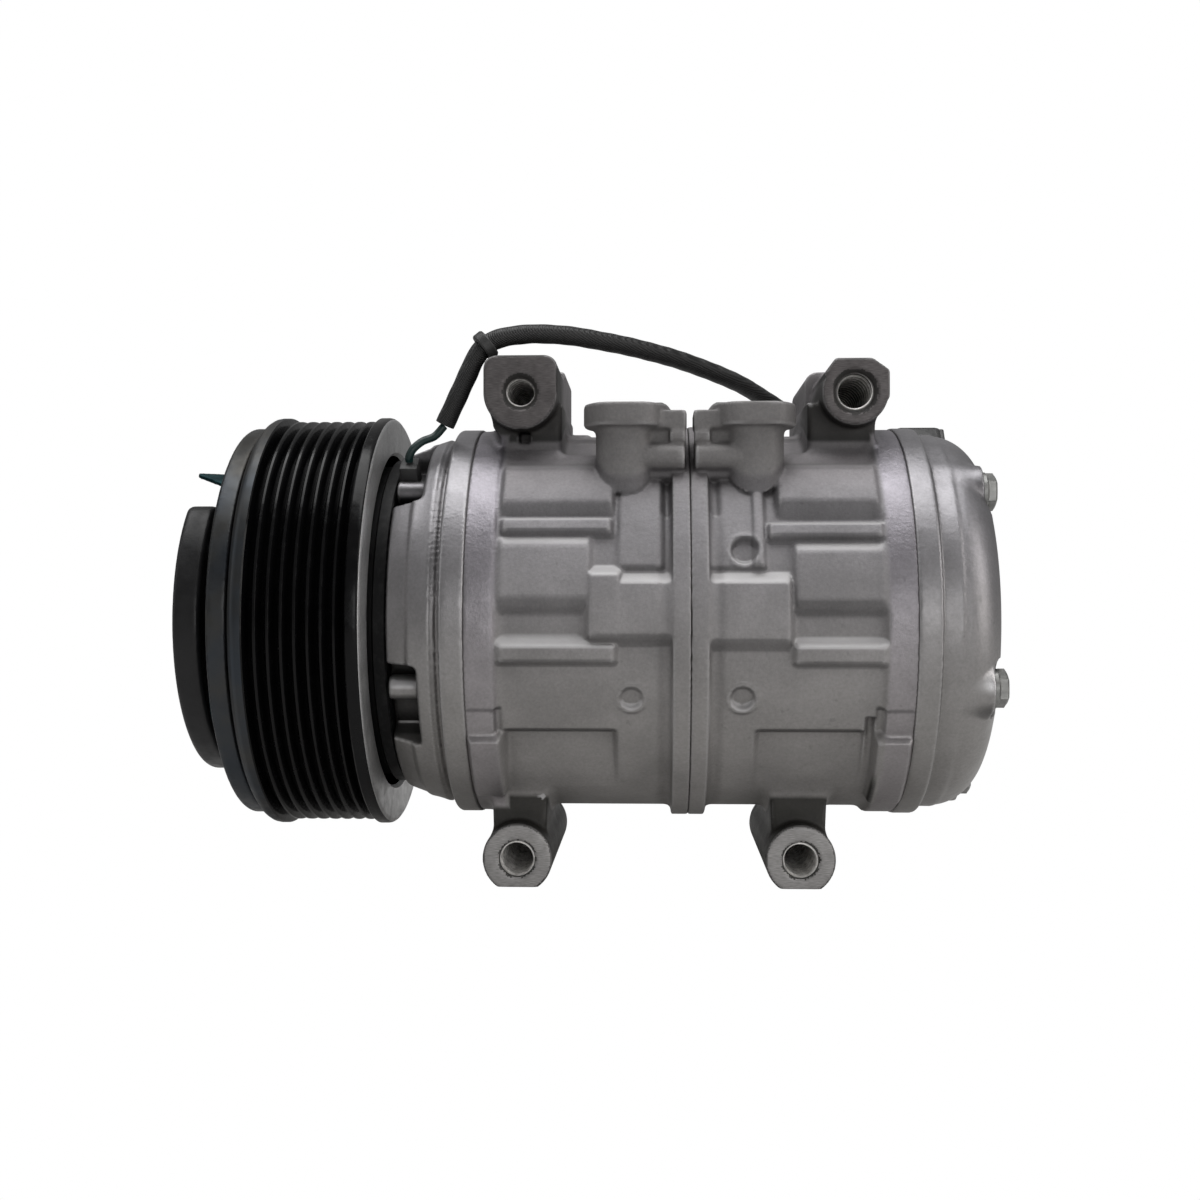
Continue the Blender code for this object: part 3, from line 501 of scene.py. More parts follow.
def moulded_plastic(name, tone, roughness, grain=0.6, depth=0.05):
    made = Finish(name, roughness, 0.0, Specular_IOR_Level=0.4)
    made.colour(made.ramp(made.noise(9, 3), 0.3, 0.7, tone, tuple(c * 1.6 for c in tone)))
    made.roughness(made.ramp(made.noise(2, 3), 0.3, 0.7, roughness - 0.05, roughness + 0.12))
    made.bump(made.noise(grain, 3), depth)
    return made.material


def braided(name, tone, light, roughness):
    """Woven sleeving: two sets of fine threads that cross."""
    made = Finish(name, roughness, 0.0, Specular_IOR_Level=0.35)
    threads = []
    for turn in (35, -35):
        mapping = made.node("ShaderNodeMapping")
        mapping.inputs["Rotation"].default_value = (0, math.radians(turn), math.radians(turn))
        made.link(made.place, mapping.inputs["Vector"])
        wave = made.node("ShaderNodeTexWave", wave_type="BANDS", bands_direction="X", wave_profile="SIN")
        wave.inputs["Scale"].default_value = 700
        wave.inputs["Distortion"].default_value = 0.4
        made.link(mapping.outputs["Vector"], wave.inputs["Vector"])
        threads.append(wave.outputs["Fac"])
    weave = made.mix(0.5, threads[0], threads[1], "MULTIPLY")
    made.colour(made.ramp(weave, 0.1, 0.9, tone, light))
    made.bump(weave, 0.12)
    return made.material


def grey(level):
    return level, level, level


def make_finishes():
    """The finishes by name. Those that are also slots of the record take the slot's name."""
    cast, machined, black = cast_finish, machined_finish, gloss_black
    metal, plastic = plain_metal, moulded_plastic
    table = {
        "cast_aluminium": (cast, "cast_aluminium_grain", (0.2128, 0.2093, 0.2105), (0.276, 0.2714, 0.2737),
                           0.56, 0.4, 1.0, True),
        "cover": (cast, "cover_blasted_aluminium", (0.2473, 0.245, 0.2461), (0.299, 0.2956, 0.299),
                  0.40, 0.85, 0.5),
        "upper_ear_face": (machined, "upper_ear_face_machined", (0.075, 0.07, 0.07), (0.13, 0.12, 0.12),
                           0.55),
        "lower_ear_face": (machined, "lower_ear_face_machined", (0.21, 0.205, 0.20), (0.37, 0.36, 0.355),
                           0.5, 0.5),
        "port_face": (machined, "port_face_machined", (0.20, 0.205, 0.195), (0.30, 0.305, 0.29), 0.42),
        "pulley_back": (machined, "pulley_back_steel", grey(0.36), grey(0.58), 0.42),
        "pulley_black": (black, "pulley_gloss_black", (0.0012, 0.0012, 0.0014), 0.15, grey(0.07), 0.17),
        "hub_black": (black, "hub_satin_black", (0.005, 0.005, 0.0055), 0.34, grey(0.07)),
        "coil_black": (black, "coil_shell_black", (0.002, 0.002, 0.0022), 0.42, grey(0.10), 0.15),
        "armature_steel": (ringed_steel, "armature_blued_steel", (0.024, 0.023, 0.022),
                           (0.062, 0.061, 0.060), 0.38),
        "bright_steel": (metal, "bright_ground_steel", grey(0.40), (0.56, 0.56, 0.55), 0.3),
        "zinc_bolt": (metal, "bolt_zinc_plate", (0.20, 0.20, 0.195), (0.30, 0.30, 0.29), 0.42, 2.0),
        "spring_steel": (metal, "spring_teal_zinc", (0.004, 0.012, 0.014), (0.010, 0.026, 0.029), 0.42, 2.0),
        "steel_plate": (metal, "pressed_steel_plate", grey(0.26), (0.38, 0.38, 0.37), 0.4, 2.5),
        "hub_iron": (metal, "hub_grey_iron", grey(0.16), grey(0.25), 0.5, 1.6),
        "disc_bronze": (metal, "disc_sprayed_bronze", (0.36, 0.26, 0.14), (0.50, 0.37, 0.21), 0.36, 1.2),
        "piston_aluminium": (metal, "piston_ground_aluminium", grey(0.52), grey(0.68), 0.3),
        "brass_cage": (metal, "cage_pressed_brass", (0.46, 0.35, 0.17), (0.62, 0.48, 0.24), 0.32),
        "coil_resin": (plastic, "coil_potting_resin", (0.14, 0.06, 0.03), 0.45, 1.5, 0.08),
        "gasket_black": (plastic, "gasket_rubber_black", grey(0.022), 0.7, 0.8, 0.05),
        "black_plastic": (plastic, "connector_plastic_black", grey(0.020), 0.42),
        "lead_sleeving": (braided, "lead_braided_sleeve", grey(0.004), grey(0.022), 0.42),
        "lead_wire": (plastic, "lead_wire_green", (0.003, 0.015, 0.014), 0.35, 2.0, 0.03),
    }
    return {slot: make(*values) for slot, (make, *values) in table.items()}


FINISHES = make_finishes()


# ---------------------------------------------------------------- blocks of distances

def smooth_min(one, other, blend):
    if blend == 0:
        return np.minimum(one, other)
    share = np.clip(0.5 + 0.5 * (other - one) / blend, 0, 1)
    return other + (one - other) * share - blend * share * (1 - share)


def corner(u, v, edge):
    """The distance to where two faces meet, rounded by edge."""
    u = u + edge
    v = v + edge
    return np.minimum(np.maximum(u, v), 0) + np.hypot(np.maximum(u, 0), np.maximum(v, 0)) - edge


def capped(across, along, low, high, edge=0.4):
    """An outline's distance, closed off between two levels."""
    return corner(across, between(along, low, high), edge)


def between(value, low, high):
    return np.abs(value - (low + high) / 2) - (high - low) / 2


def round_box(u, v, half_u, half_v, radius):
    return corner(np.abs(u) - half_u, np.abs(v) - half_v, radius)


def convex(u, v, points):
    """Distance to a convex outline whose points run anticlockwise."""
    distance = None
    for (u0, v0), (u1, v1) in zip(points, points[1:] + points[:1]):
        size = math.hypot(u1 - u0, v1 - v0)
        side = (u - u0) * ((v1 - v0) / size) - (v - v0) * ((u1 - u0) / size)
        distance = side if distance is None else np.maximum(distance, side)
    return distance


def bump(value, low, high, edge):
    """1 between low and high, 0 outside, with smooth flanks."""
    rise = np.clip((value - low) / edge + 0.5, 0, 1)
    fall = np.clip((high - value) / edge + 0.5, 0, 1)
    both = rise * fall
    return both * both * (3 - 2 * both)


class Block:
    """Signed distances on a grid of points, in millimetres."""

    def __init__(self, low, high, pitch):
        self.low = [float(v) - 2 * pitch for v in low]
        self.pitch = pitch
        counts = [int((b + 2 * pitch - a) / pitch) + 1 for a, b in zip(self.low, high)]
        self.axes = [np.float32(a + pitch * np.arange(n)) for a, n in zip(self.low, counts)]
        self.values = np.full(counts, 1e3, np.float32)

    def part(self, low, high):
        """The slices and coordinates of the grid inside a box, or of the whole grid."""
        slices = []
        for axis, values in enumerate(self.axes):
            first, last = 0, len(values)
            if low is not None:
                first, last = np.searchsorted(values, (low[axis], high[axis]))
            slices.append(slice(int(first), int(last)))
        x, y, z = (values[s] for values, s in zip(self.axes, slices))
        return tuple(slices), x[:, None, None], y[None, :, None], z[None, None, :]

    def join(self, shape, low=None, high=None, blend=0.0):
        slices, x, y, z = self.part(low, high)
        self.values[slices] = smooth_min(self.values[slices], shape(x, y, z), blend)

    def carve(self, shape, low=None, high=None, blend=0.0):
        slices, x, y, z = self.part(low, high)
        self.values[slices] = -smooth_min(-self.values[slices], shape(x, y, z), blend)

    def net(self):
        """Vertices, in millimetres, and quads of the surface where the distance is zero."""
        values = self.values
        inside = values < 0
        corners = [(i, j, k) for i in (0, 1) for j in (0, 1) for k in (0, 1)]
        size = [n - 1 for n in values.shape]
        total = np.zeros(size, np.int8)
        for i, j, k in corners:
            total += inside[i:i + size[0], j:j + size[1], k:k + size[2]]
        cells = np.argwhere((total > 0) & (total < 8))
        number = np.full(size, -1, np.int32)
        number[tuple(cells.T)] = np.arange(len(cells))
        places = np.zeros((len(cells), 3))
        counts = np.zeros(len(cells))
        for start in corners:
            for axis in range(3):
                if start[axis]:
                    continue
                end = list(start)
                end[axis] = 1
                one = values[tuple((cells + start).T)]
                other = values[tuple((cells + end).T)]
                crossed = (one < 0) != (other < 0)
                share = one[crossed] / (one[crossed] - other[crossed])
                places[crossed] += start
                places[crossed, axis] += share
                counts[crossed] += 1
        places = (cells + places / counts[:, None]) * self.pitch + np.array(self.low)
        quads = []
        for axis in range(3):
            ends = [slice(1, n - 1) for n in values.shape]
            near, far = list(ends), list(ends)
            near[axis] = slice(0, values.shape[axis] - 1)
            far[axis] = slice(1, values.shape[axis])
            changed = inside[tuple(near)] != inside[tuple(far)]
            offset = [1, 1, 1]
            offset[axis] = 0
            at = np.argwhere(changed) + offset
            out = inside[tuple(at.T)]
            b, c = (axis + 1) % 3, (axis + 2) % 3
            ring = []
            for step_b, step_c in ((-1, -1), (0, -1), (0, 0), (-1, 0)):
                cell = at.copy()
                cell[:, b] += step_b
                cell[:, c] += step_c
                ring.append(number[tuple(cell.T)])
            ring = np.stack(ring, 1)
            ring[~out] = ring[~out][:, ::-1]
            quads.append(ring)
        return places, np.concatenate(quads)


# ---------------------------------------------------------------- pieces

def place_piece(name, mesh, body, finish, replaced=(), rule=None):
    """One visual piece, riding on its body; a rule tells which of its finishes each face takes."""
    made = bpy.data.objects.new(name, mesh)
    bpy.context.scene.collection.objects.link(made)
    mesh.materials.clear()
    for one in [finish] if isinstance(finish, str) else finish:
        mesh.materials.append(FINISHES[one])
    if rule is not None:
        paint_faces(mesh, rule)
    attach(made, body)
    if replaced:
        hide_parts(*replaced)


def mesh_from(name, points, faces):
    mesh = bpy.data.meshes.new(name)
    points = np.asarray(points, float) * MM + np.array(ORIGIN)
    mesh.from_pydata(points.tolist(), [], [list(map(int, face)) for face in faces])
    mesh.update()
    mesh.shade_smooth()
    return mesh


def thinned(mesh, limit):
    """The same surface with no more than limit triangles."""
    mesh.calc_loop_triangles()
    count = len(mesh.loop_triangles)
    if count <= limit:
        return mesh
    holder = bpy.data.objects.new("holder", mesh)
    bpy.context.scene.collection.objects.link(holder)
    modifier = holder.modifiers.new("thin", "DECIMATE")
    modifier.ratio = limit / count
    shape = holder.evaluated_get(bpy.context.evaluated_depsgraph_get())
    fewer = bpy.data.meshes.new_from_object(shape)
    fewer.name = mesh.name
    bpy.data.objects.remove(holder)
    bpy.data.meshes.remove(mesh)
    fewer.shade_smooth()
    return fewer


def block_mesh(name, block, limit):
    points, quads = block.net()
    return thinned(mesh_from(name, points, quads), limit)


def paint_faces(mesh, rule):
    """Gives each face the material number that a rule makes of its centre and its normal."""
    count = len(mesh.polygons)
    centres = np.zeros(count * 3)
    normals = np.zeros(count * 3)
    mesh.polygons.foreach_get("center", centres)
    mesh.polygons.foreach_get("normal", normals)
    centres = (centres.reshape(-1, 3) - np.array(ORIGIN)) / MM
    mesh.polygons.foreach_set("material_index", rule(centres, normals.reshape(-1, 3)).astype(np.int32))


def ring_faces(rings, steps, closed=False):
    """Quads between rings of points, and from the last ring to the first if it is closed."""
    faces = []
    for ring in range(rings if closed else rings - 1):
        one, other = ring * steps, (ring + 1) % rings * steps
        for step in range(steps):
            after = (step + 1) % steps
            faces.append((one + step, one + after, other + after, other + step))
    return faces


def end_faces(rings, steps):
    last = (rings - 1) * steps
    return [tuple(range(steps)), tuple(range(last, last + steps))]


def turned(name, profile, steps, centre=(0, 0)):
    """A solid of revolution of a closed outline of (x, radius), about the shaft or a line beside it."""
    points = []
    for x, radius in profile:
        for step in range(steps):
            angle = 2 * math.pi * step / steps
            points.append((x, centre[0] + radius * math.cos(angle), centre[1] + radius * math.sin(angle)))
    mesh = mesh_from(name, points, ring_faces(len(profile), steps, True))
    tidy_mesh(mesh)
    return mesh


def tidy_mesh(mesh, angle=32):
    bm = bmesh.new()
    bm.from_mesh(mesh)
    bmesh.ops.remove_doubles(bm, verts=bm.verts, dist=1e-7)
    bmesh.ops.recalc_face_normals(bm, faces=bm.faces)
    bm.to_mesh(mesh)
    bm.free()
    mesh.shade_smooth()
    mesh.set_sharp_from_angle(angle=math.radians(angle))


def beside(degrees, radius):
    """(y, z) at an angle above -Y and a distance from the shaft."""
    angle = math.radians(degrees)
    return -radius * math.cos(angle), radius * math.sin(angle)


def around(first_degrees, radius):
    """(y, z) of five places evenly spaced round the shaft."""
    return [beside(first_degrees - 360 / CYLINDERS * index, radius) for index in range(CYLINDERS)]


BOLTS = around(FIRST_BOLT_DEG, BOLT_CIRCLE_R)
BORES = around(FIRST_BORE_DEG, BORE_CIRCLE_R)


def rod(axis, u0, v0, radius, low, high, edge=0.4):
    """A round bar along X or Z."""
    def shape(x, y, z):
        u, v, along = (y, z, x) if axis == "X" else (x, y, z)
        return capped(np.hypot(u - u0, v - v0) - radius, along, low, high, edge)
    return shape


# ---------------------------------------------------------------- cylinder halves

# Relief on the flanks, the same on both sides: X from, X to, angle from, angle to, height
# and the width of its slope. A recess deeper than DEEP runs out towards its lower edge.
DEEP = -2.0
FRONT_RELIEF = [
    (-51.5, -20.6, 32.0, 50.0, 2.7, 8.0),
    (-51.0, -21.0, 24.9, 29.9, 2.6, 2.2),
    (-51.5, -26.6, 4.6, 24.0, 2.1, 7.0),
    (-51.0, -29.2, -3.8, 3.6, -0.6, 2.2),
    (-51.6, -20.0, -11.0, -5.4, 2.3, 2.4),
    (-27.5, -4.8, -4.7, 12.4, 2.5, 4.6),
    (-27.6, -18.4, -4.7, 14.4, 2.8, 4.2),
    (-19.5, -7.2, 15.0, 46.0, 1.2, 2.2),
    (-50.6, -20.4, -58.0, -33.4, -3.6, 4.2),
    (-60.2, -51.4, -58.0, -33.0, 3.2, 1.6),
    (-60.2, -51.4, -33.0, -24.5, -1.3, 1.6),
    (-50.8, -20.0, 60.0, 76.0, -1.6, 2.0),
    (-7.8, -5.2, 31.0, 46.0, -1.2, 3.0),
    (-8.2, -5.2, -80.0, 31.0, -0.5, 3.0),
]
REAR_RELIEF = [
    (23.2, 51.0, 32.4, 50.0, 2.7, 7.5),
    (20.5, 51.2, 23.2, 28.2, 2.6, 2.2),
    (27.2, 51.4, 4.0, 21.8, 2.1, 6.5),
    (27.6, 51.4, -4.6, 3.0, -0.6, 2.2),
    (27.2, 51.6, -11.4, -5.6, 2.3, 2.4),
    (4.8, 26.6, -6.0, 12.4, 2.5, 4.6),
    (16.4, 19.8, 15.0, 42.0, 2.0, 2.0),
    (4.6, 17.5, 15.0, 46.0, 0.8, 2.2),
    (18.0, 47.2, -58.0, -33.4, -3.6, 4.2),
    (47.2, 49.4, -56.0, -28.0, -2.8, 1.6),
    (49.8, 59.4, -62.0, -33.0, 3.2, 1.6),
    (49.8, 59.4, -33.0, -24.5, -1.3, 1.6),
    (20.0, 50.0, 60.0, 76.0, -1.6, 2.0),
    (5.2, 7.8, 31.0, 46.0, -1.2, 3.0),
    (5.2, 8.2, -80.0, 31.0, -0.5, 3.0),
]
# Round dimples: X, angle, radius and depth
DIMPLES = [(-15.9, -21.5, 2.8, 0.9), (14.3, 20.2, 3.4, 1.6), (13.8, -21.5, 3.0, 1.2)]


def flank_relief(table):
    def relief(x, y, z):
        angle = np.degrees(np.arctan2(z, np.abs(y)))
        raised, sunk = 0, 0
        for x0, x1, a0, a1, lift, edge in table:
            level = lift * bump(x, x0, x1, min(edge, 2.4)) * bump(angle, a0, a1, edge)
            if lift < DEEP:
                level = level * np.clip((angle - a0) / (a1 - a0), 0, 1)
            raised, sunk = np.maximum(raised, level), np.minimum(sunk, level)
        height = raised + sunk
        for x0, a0, radius, depth in DIMPLES:
            reach = np.hypot(x - x0, np.radians(angle - a0) * BODY_R)
            height = height - depth * np.clip((radius - reach) / 0.9 + 0.5, 0, 1)
            height = height + 0.35 * np.clip(1 - np.abs(reach - radius - 1.0) / 1.0, 0, 1)
        return height
    return relief


def top_front_ear(x, y, z):
    """Rounded at its near end, squarer at its far end."""
    u, v = x - TOP_FRONT_EAR[0], z - TOP_FRONT_EAR[1]
    near = np.minimum(round_box(u, v - 3.2, 10.4, 7.2, 3.6), np.hypot(u, v) - 10.4)
    return np.where(y < 2, near, round_box(u, v - 1.0, 10.4, 10.4, 1.2))


def top_rear_ear(x, y, z):
    """Chamfered at its near end, wider towards the ports at its far end."""
    u, v = x - TOP_REAR_EAR[0], z - TOP_REAR_EAR[1]
    outline = [(-5.4, 9.4), (-8.6, 5.0), (-2.0, -6.0), (7.2, -4.6), (9.6, -1.6), (9.6, 6.0), (4.8, 9.4)]
    near = np.minimum(convex(u, v, outline), np.hypot(u, v) - 9.3)
    return np.where(y < -4, near, round_box(u + 1.0, v + 0.4, 10.0, 10.6, 4.0))


def lower_ear(ear):
    def outline(x, y, z):
        return np.hypot(x - ear[0], z - ear[1]) - 9.8 + 0 * y
    return outline


PEDESTALS = {
    "top_front": [(-41.0, 33.0), (-36.0, 33.0), (-36.0, 62.0), (-56.4, 62.0), (-55.8, 55.5)],
    "top_rear": [(33.4, 33.0), (43.6, 33.0), (52.4, 51.0), (52.8, 62.0), (33.4, 62.0)],
    "low_front": [(-55.4, -68.0), (-40.8, -68.0), (-39.4, -36.0), (-56.2, -36.0)],
    "low_rear": [(23.6, -68.0), (38.2, -68.0), (39.6, -36.0), (22.6, -36.0)],
}


def add_ear(block, outline, pedestal, inset):
    """A lug along Y on a web that runs down into the casing."""
    def web(x, y, z):
        return capped(convex(x, z, pedestal), y, -EAR_HALF + inset, EAR_HALF - inset, 1.5)

    def lug(x, y, z):
        return capped(outline(x, y, z), y, -EAR_HALF, EAR_HALF, 0.7)
    block.join(web, blend=3.0)
    block.join(lug, blend=1.4)


def add_port(block, side):
    """A round boss with a flange, a lug towards the centre joint and a short cross boss."""
    centre = side * PORT_X
    lug_end = side * 0.9

    def body(x, y, z):
        round_part = corner(np.hypot(x - centre, y - PORT_Y) - 8.2, PORT_Y - 7.9 - y, 1.2)
        under = np.hypot(x - centre, np.minimum(z - 43.0, 0)) - 8.0
        return corner(np.maximum(round_part, under), z - 56.0, 0.3)

    def flange(x, y, z):
        disc = corner(np.hypot(x - centre, y - PORT_Y) - 11.4, PORT_Y - 9.6 - y, 1.0)
        return capped(disc, z, 53.6, PORT_TOP, 0.7)

    def lug(x, y, z):
        low, high = sorted((centre, lug_end))
        flat = round_box(x - (low + high) / 2, y - PORT_Y, (high - low) / 2, 5.6, 0.8)
        return capped(flat, z, 53.2, PORT_TOP - 1.8, 0.8)

    def web(x, y, z):
        low, high = sorted((side * 1.6, centre))
        return capped(np.abs(y + 35.0) - 6.0, x, low, high, 0.6) + np.maximum(0, np.maximum(40 - z, z - 55))

    def gusset(x, y, z):
        low, high = sorted((side * 1.2, side * 5.6))
        return capped(np.hypot(y + 40.4, z - 51.2) - 2.7, x, low, high, 0.5)
    block.join(body, blend=0.5)
    block.join(web, blend=0.6)
    block.join(gusset, blend=0.6)
    block.join(flange, blend=2.6)
    block.join(lug, blend=0.9)
    low, high = sorted((side * 1.4, side * 14.0))
    block.join(rod("X", PORT_Y - 3.2, 45.4, 3.9, low, high, 0.6), blend=0.8)


def carve_hole(block, ear, radius, mouth):
    """A hole along Y through an ear, with a chamfered mouth at each end."""
    def hole(x, y, z):
        reach = np.hypot(x - ear[0], z - ear[1])
        flare = np.maximum(0, np.abs(y) - (EAR_HALF - (mouth - radius)))
        return reach - radius - flare
    low = (ear[0] - mouth - 2, -EAR_HALF - 3, ear[1] - mouth - 2)
    high = (ear[0] + mouth + 2, EAR_HALF + 3, ear[1] + mouth + 2)
    block.carve(hole, low, high)


def inner_spaces(block, side, far):
    """The shaft bore, the swash chamber, the cylinders and the bolt holes."""
    low, high = sorted((side * -2.0, side * CHAMBER_HALF))
    block.carve(rod("X", 0, 0, CHAMBER_R, low, high))
    low, high = sorted((side * 10.0, side * (far + 3)))
    block.carve(rod("X", 0, 0, SHAFT_BORE_R, low, high))
    for bore, bolt in zip(BORES, BOLTS):
        block.carve(rod("X", *bore, BORE_R, low, high))
        block.carve(rod("X", *bolt, BOLT_HOLE_R, low, high))


def cylinder_half(side, far, table, ears):
    low, high = sorted((side * CENTRE_GAP, side * (far - PARTING_GAP)))
    block = Block((low, -61, -76), (high, 61, 76), CASTING_GRID)
    relief = flank_relief(table)

    def skin(x, y, z):
        return capped(np.hypot(y, z) - BODY_R - relief(x, y, z), x, low, high, 0.1)

    def ring(x0, x1, radius, edge):
        first, last = sorted((side * x0, side * x1))
        return rod("X", 0, 0, radius, first, last, edge)
    block.join(skin)
    block.join(ring(CENTRE_GAP, CENTRE_HALF, CENTRE_R - 0.8, 0.25), blend=2.2)
    block.join(ring(far - 7.2, far - PARTING_GAP, FLANGE_R - 0.7, 0.15), blend=4.0)
    for outline, pedestal, inset in ears:
        add_ear(block, outline, pedestal, inset)
    add_port(block, side)
    return block


def flat_base(block):
    """Cuts the lower ears level with the base."""
    slices, x, y, z = block.part(None, None)
    block.values[slices] = np.maximum(block.values[slices], BASE - z + 0 * x + 0 * y)


def face_rule(centres, normals):
    """Numbers of the finishes: the machined ear ends and port tops."""
    x, y, z = centres.T
    index = np.zeros(len(centres))
    ends = (np.abs(y) > EAR_HALF - 0.9) & (np.abs(normals[:, 1]) > 0.8) & ((z < 0) | (np.abs(x) > 32))
    index[ends & (z > 50)] = 1
    index[ends & (z < -50)] = 3
    index[(z > PORT_TOP - 0.6) & (normals[:, 2] > 0.8) & (y < -24) & (np.abs(x) < 32)] = 2
    return index


def thread(name, ear, radius, pitch, end, depth, root):
    """A threaded lining for an ear's hole, from end to end, whose roots have their own tone."""
    sides = 36
    steps = int(2 * end / pitch * 8)
    rings = []
    for row in range(steps + 1):
        y = 2 * end * row / steps - end
        phases = [(y / pitch + step / sides) % 1.0 for step in range(sides)]
        rings.append((y, [radius - depth * (1 - abs(2 * phase - 1)) for phase in phases]))
    rings += [(end, [radius + 0.5] * sides), (-end, [radius + 0.5] * sides)]
    points = []
    for y, radii in rings:
        for step, reach in enumerate(radii):
            angle = 2 * math.pi * step / sides
            points.append((ear[0] + reach * math.cos(angle), y, ear[1] + reach * math.sin(angle)))
    mesh = mesh_from(name, points, ring_faces(len(rings), sides, True))
    tidy_mesh(mesh, 50)
    FINISHES[name] = thread_finish(name, ear, radius, radius - depth, root)
    place_piece(name, mesh, "casing", name)


def make_cylinders():
    surfaces = ("cast_aluminium", "upper_ear_face", "port_face", "lower_ear_face")
    front = cylinder_half(-1, -FRONT_PARTING, FRONT_RELIEF, [
        (top_front_ear, PEDESTALS["top_front"], 7.0),
        (lower_ear(LOW_FRONT_EAR), PEDESTALS["low_front"], 7.0),
    ])
    rear = cylinder_half(1, REAR_PARTING, REAR_RELIEF, [
        (top_rear_ear, PEDESTALS["top_rear"], 6.5),
        (lower_ear(LOW_REAR_EAR), PEDESTALS["low_rear"], 7.0),
    ])

    def far_block(x, y, z):
        return capped(round_box(x + 34.0, y - 18.0, 5.2, 9.0, 2.0), z, 40.0, 57.4, 2.0)

    def pedestal_slot(x, y, z):
        return np.maximum(between(x, -48.2, -45.0), between(z, 50.7, 54.1)) + 0 * y
    front.join(far_block, blend=1.5)
    front.carve(pedestal_slot, (-50, -36, 46), (-43, -22, 57))
    front_holes = (
        (TOP_FRONT_EAR, TOP_FRONT_HOLE_R, TOP_FRONT_MOUTH_R),
        (LOW_FRONT_EAR, LOW_HOLE_R, LOW_MOUTH_R),
    )
    rear_holes = (
        (TOP_REAR_EAR, TOP_REAR_HOLE_R, TOP_REAR_MOUTH_R),
        (LOW_REAR_EAR, LOW_HOLE_R, LOW_MOUTH_R),
    )
    for node, block, side, far, holes in (
        ("front_cylinder", front, -1, -FRONT_PARTING, front_holes),
        ("rear_cylinder", rear, 1, REAR_PARTING, rear_holes),
    ):
        flat_base(block)
        for ear, radius, mouth in holes:
            carve_hole(block, ear, radius, mouth)
        block.carve(rod("Z", side * PORT_X, PORT_Y, PORT_BORE_R, 44.0, PORT_TOP + 3),
                    (side * PORT_X - 8, PORT_Y - 8, 40), (side * PORT_X + 8, PORT_Y + 8, 64))
        inner_spaces(block, side, far)
        mesh = block_mesh(f"{node}_casting", block, CYLINDER_LIMIT)
        place_piece(f"{node}_casting", mesh, "casing", surfaces, [node], face_rule)
    # Thread roots: dark in the upper holes, as painted shade, and pale in the lower holes.
    shaded_root, pale_root = (0.035, 0.032, 0.03), (0.55, 0.54, 0.52)
    thread("top_front_ear_thread", TOP_FRONT_EAR, TOP_FRONT_HOLE_R, 3.0, 33.6, 0.6, shaded_root)
    thread("top_rear_ear_thread", TOP_REAR_EAR, TOP_REAR_HOLE_R, 3.6, 33.6, 0.7, shaded_root)
    thread("low_front_ear_thread", LOW_FRONT_EAR, LOW_HOLE_R, 1.5, 34.0, 0.5, pale_root)
    thread("low_rear_ear_thread", LOW_REAR_EAR, LOW_HOLE_R, 1.5, 34.0, 0.5, pale_root)


# ---------------------------------------------------------------- covers

def ring_shape(outline, edge):
    """A row of drums and cones, each from x0 to x1 and from radius r0 to r1."""
    def shape(x, y, z):
        reach = np.hypot(y, z)
        distance = None
        for x0, x1, r0, r1 in outline:
            share = np.clip((x - x0) / (x1 - x0), 0, 1)
            drum = capped(reach - (r0 + (r1 - r0) * share), x, x0, x1, edge)
            distance = drum if distance is None else smooth_min(distance, drum, 0.6)
        return distance
    return shape


def make_front_housing():
    """The clutch end's cover: a flange, a tapering skirt with windows, and the nose."""
    face = FRONT_PARTING - PARTING_GAP
    inner = FRONT_PARTING - STACK_DEPTH
    block = Block((-118, -59, -59), (face + 0.5, 59, 59), CASTING_GRID)
    flange, waist, skirt = (-67.2, face, 57.3, 57.3), (-76.5, -60.8, 52.8, 55.2), (-82.5, -70.0, 50.0, 54.6)
    block.join(ring_shape([flange, waist, skirt], 0.6))
    block.join(rod("X", 0, 0, 17.4, -117.4, -80.0, 0.6), blend=2.0)

    def groove(x, y, z):
        return np.maximum(between(x, -68.5, -67.3), 53.4 - np.hypot(y, z))
    block.carve(groove)

    def window(start, end):
        middle, half = (start + end) / 2, (end - start) / 2
        rise, run = math.sin(math.radians(middle)), math.cos(math.radians(middle))

        def shape(x, y, z):
            turn = np.degrees(np.arctan2(z * run + y * rise, -y * run + z * rise))
            side = (np.abs(turn) - half) * 0.9
            return corner(corner(side, 44.0 - np.hypot(y, z), 1.0), x + 74.0, 1.6)
        return shape
    for start, end in ((-40, -13), (40, 84), (96, 140), (193, 220)):
        block.carve(window(start, end), (-120, -70, -70), (-70, 70, 70), blend=0.5)
    for y, z in BOLTS:
        block.join(rod("X", y, z, 3.4, -82.2, -70.0, 0.6), (-84, y - 9, z - 9), (-66, y + 9, z + 9), 0.5)
        block.carve(rod("X", y, z, BOLT_HOLE_R, -73.5, -58.0), (-76, y - 9, z - 9), (-55, y + 9, z + 9))
    block.carve(rod("X", 0, 0, STACK_R, inner, -50.0))
    block.carve(rod("X", 0, 0, 9.0, -104.5, -50.0))
    block.carve(rod("X", 0, 0, 12.4, -125.0, -104.0))

    def plenum(x, y, z):
        return capped(between(np.hypot(y, z), 20.0, 42.4), x, -75.0, inner + 3, 0.5)
    block.carve(plenum)
    mesh = block_mesh("front_housing_casting", block, COVER_LIMIT)
    place_piece("front_housing_casting", mesh, "casing", "cover", ["front_housing"])


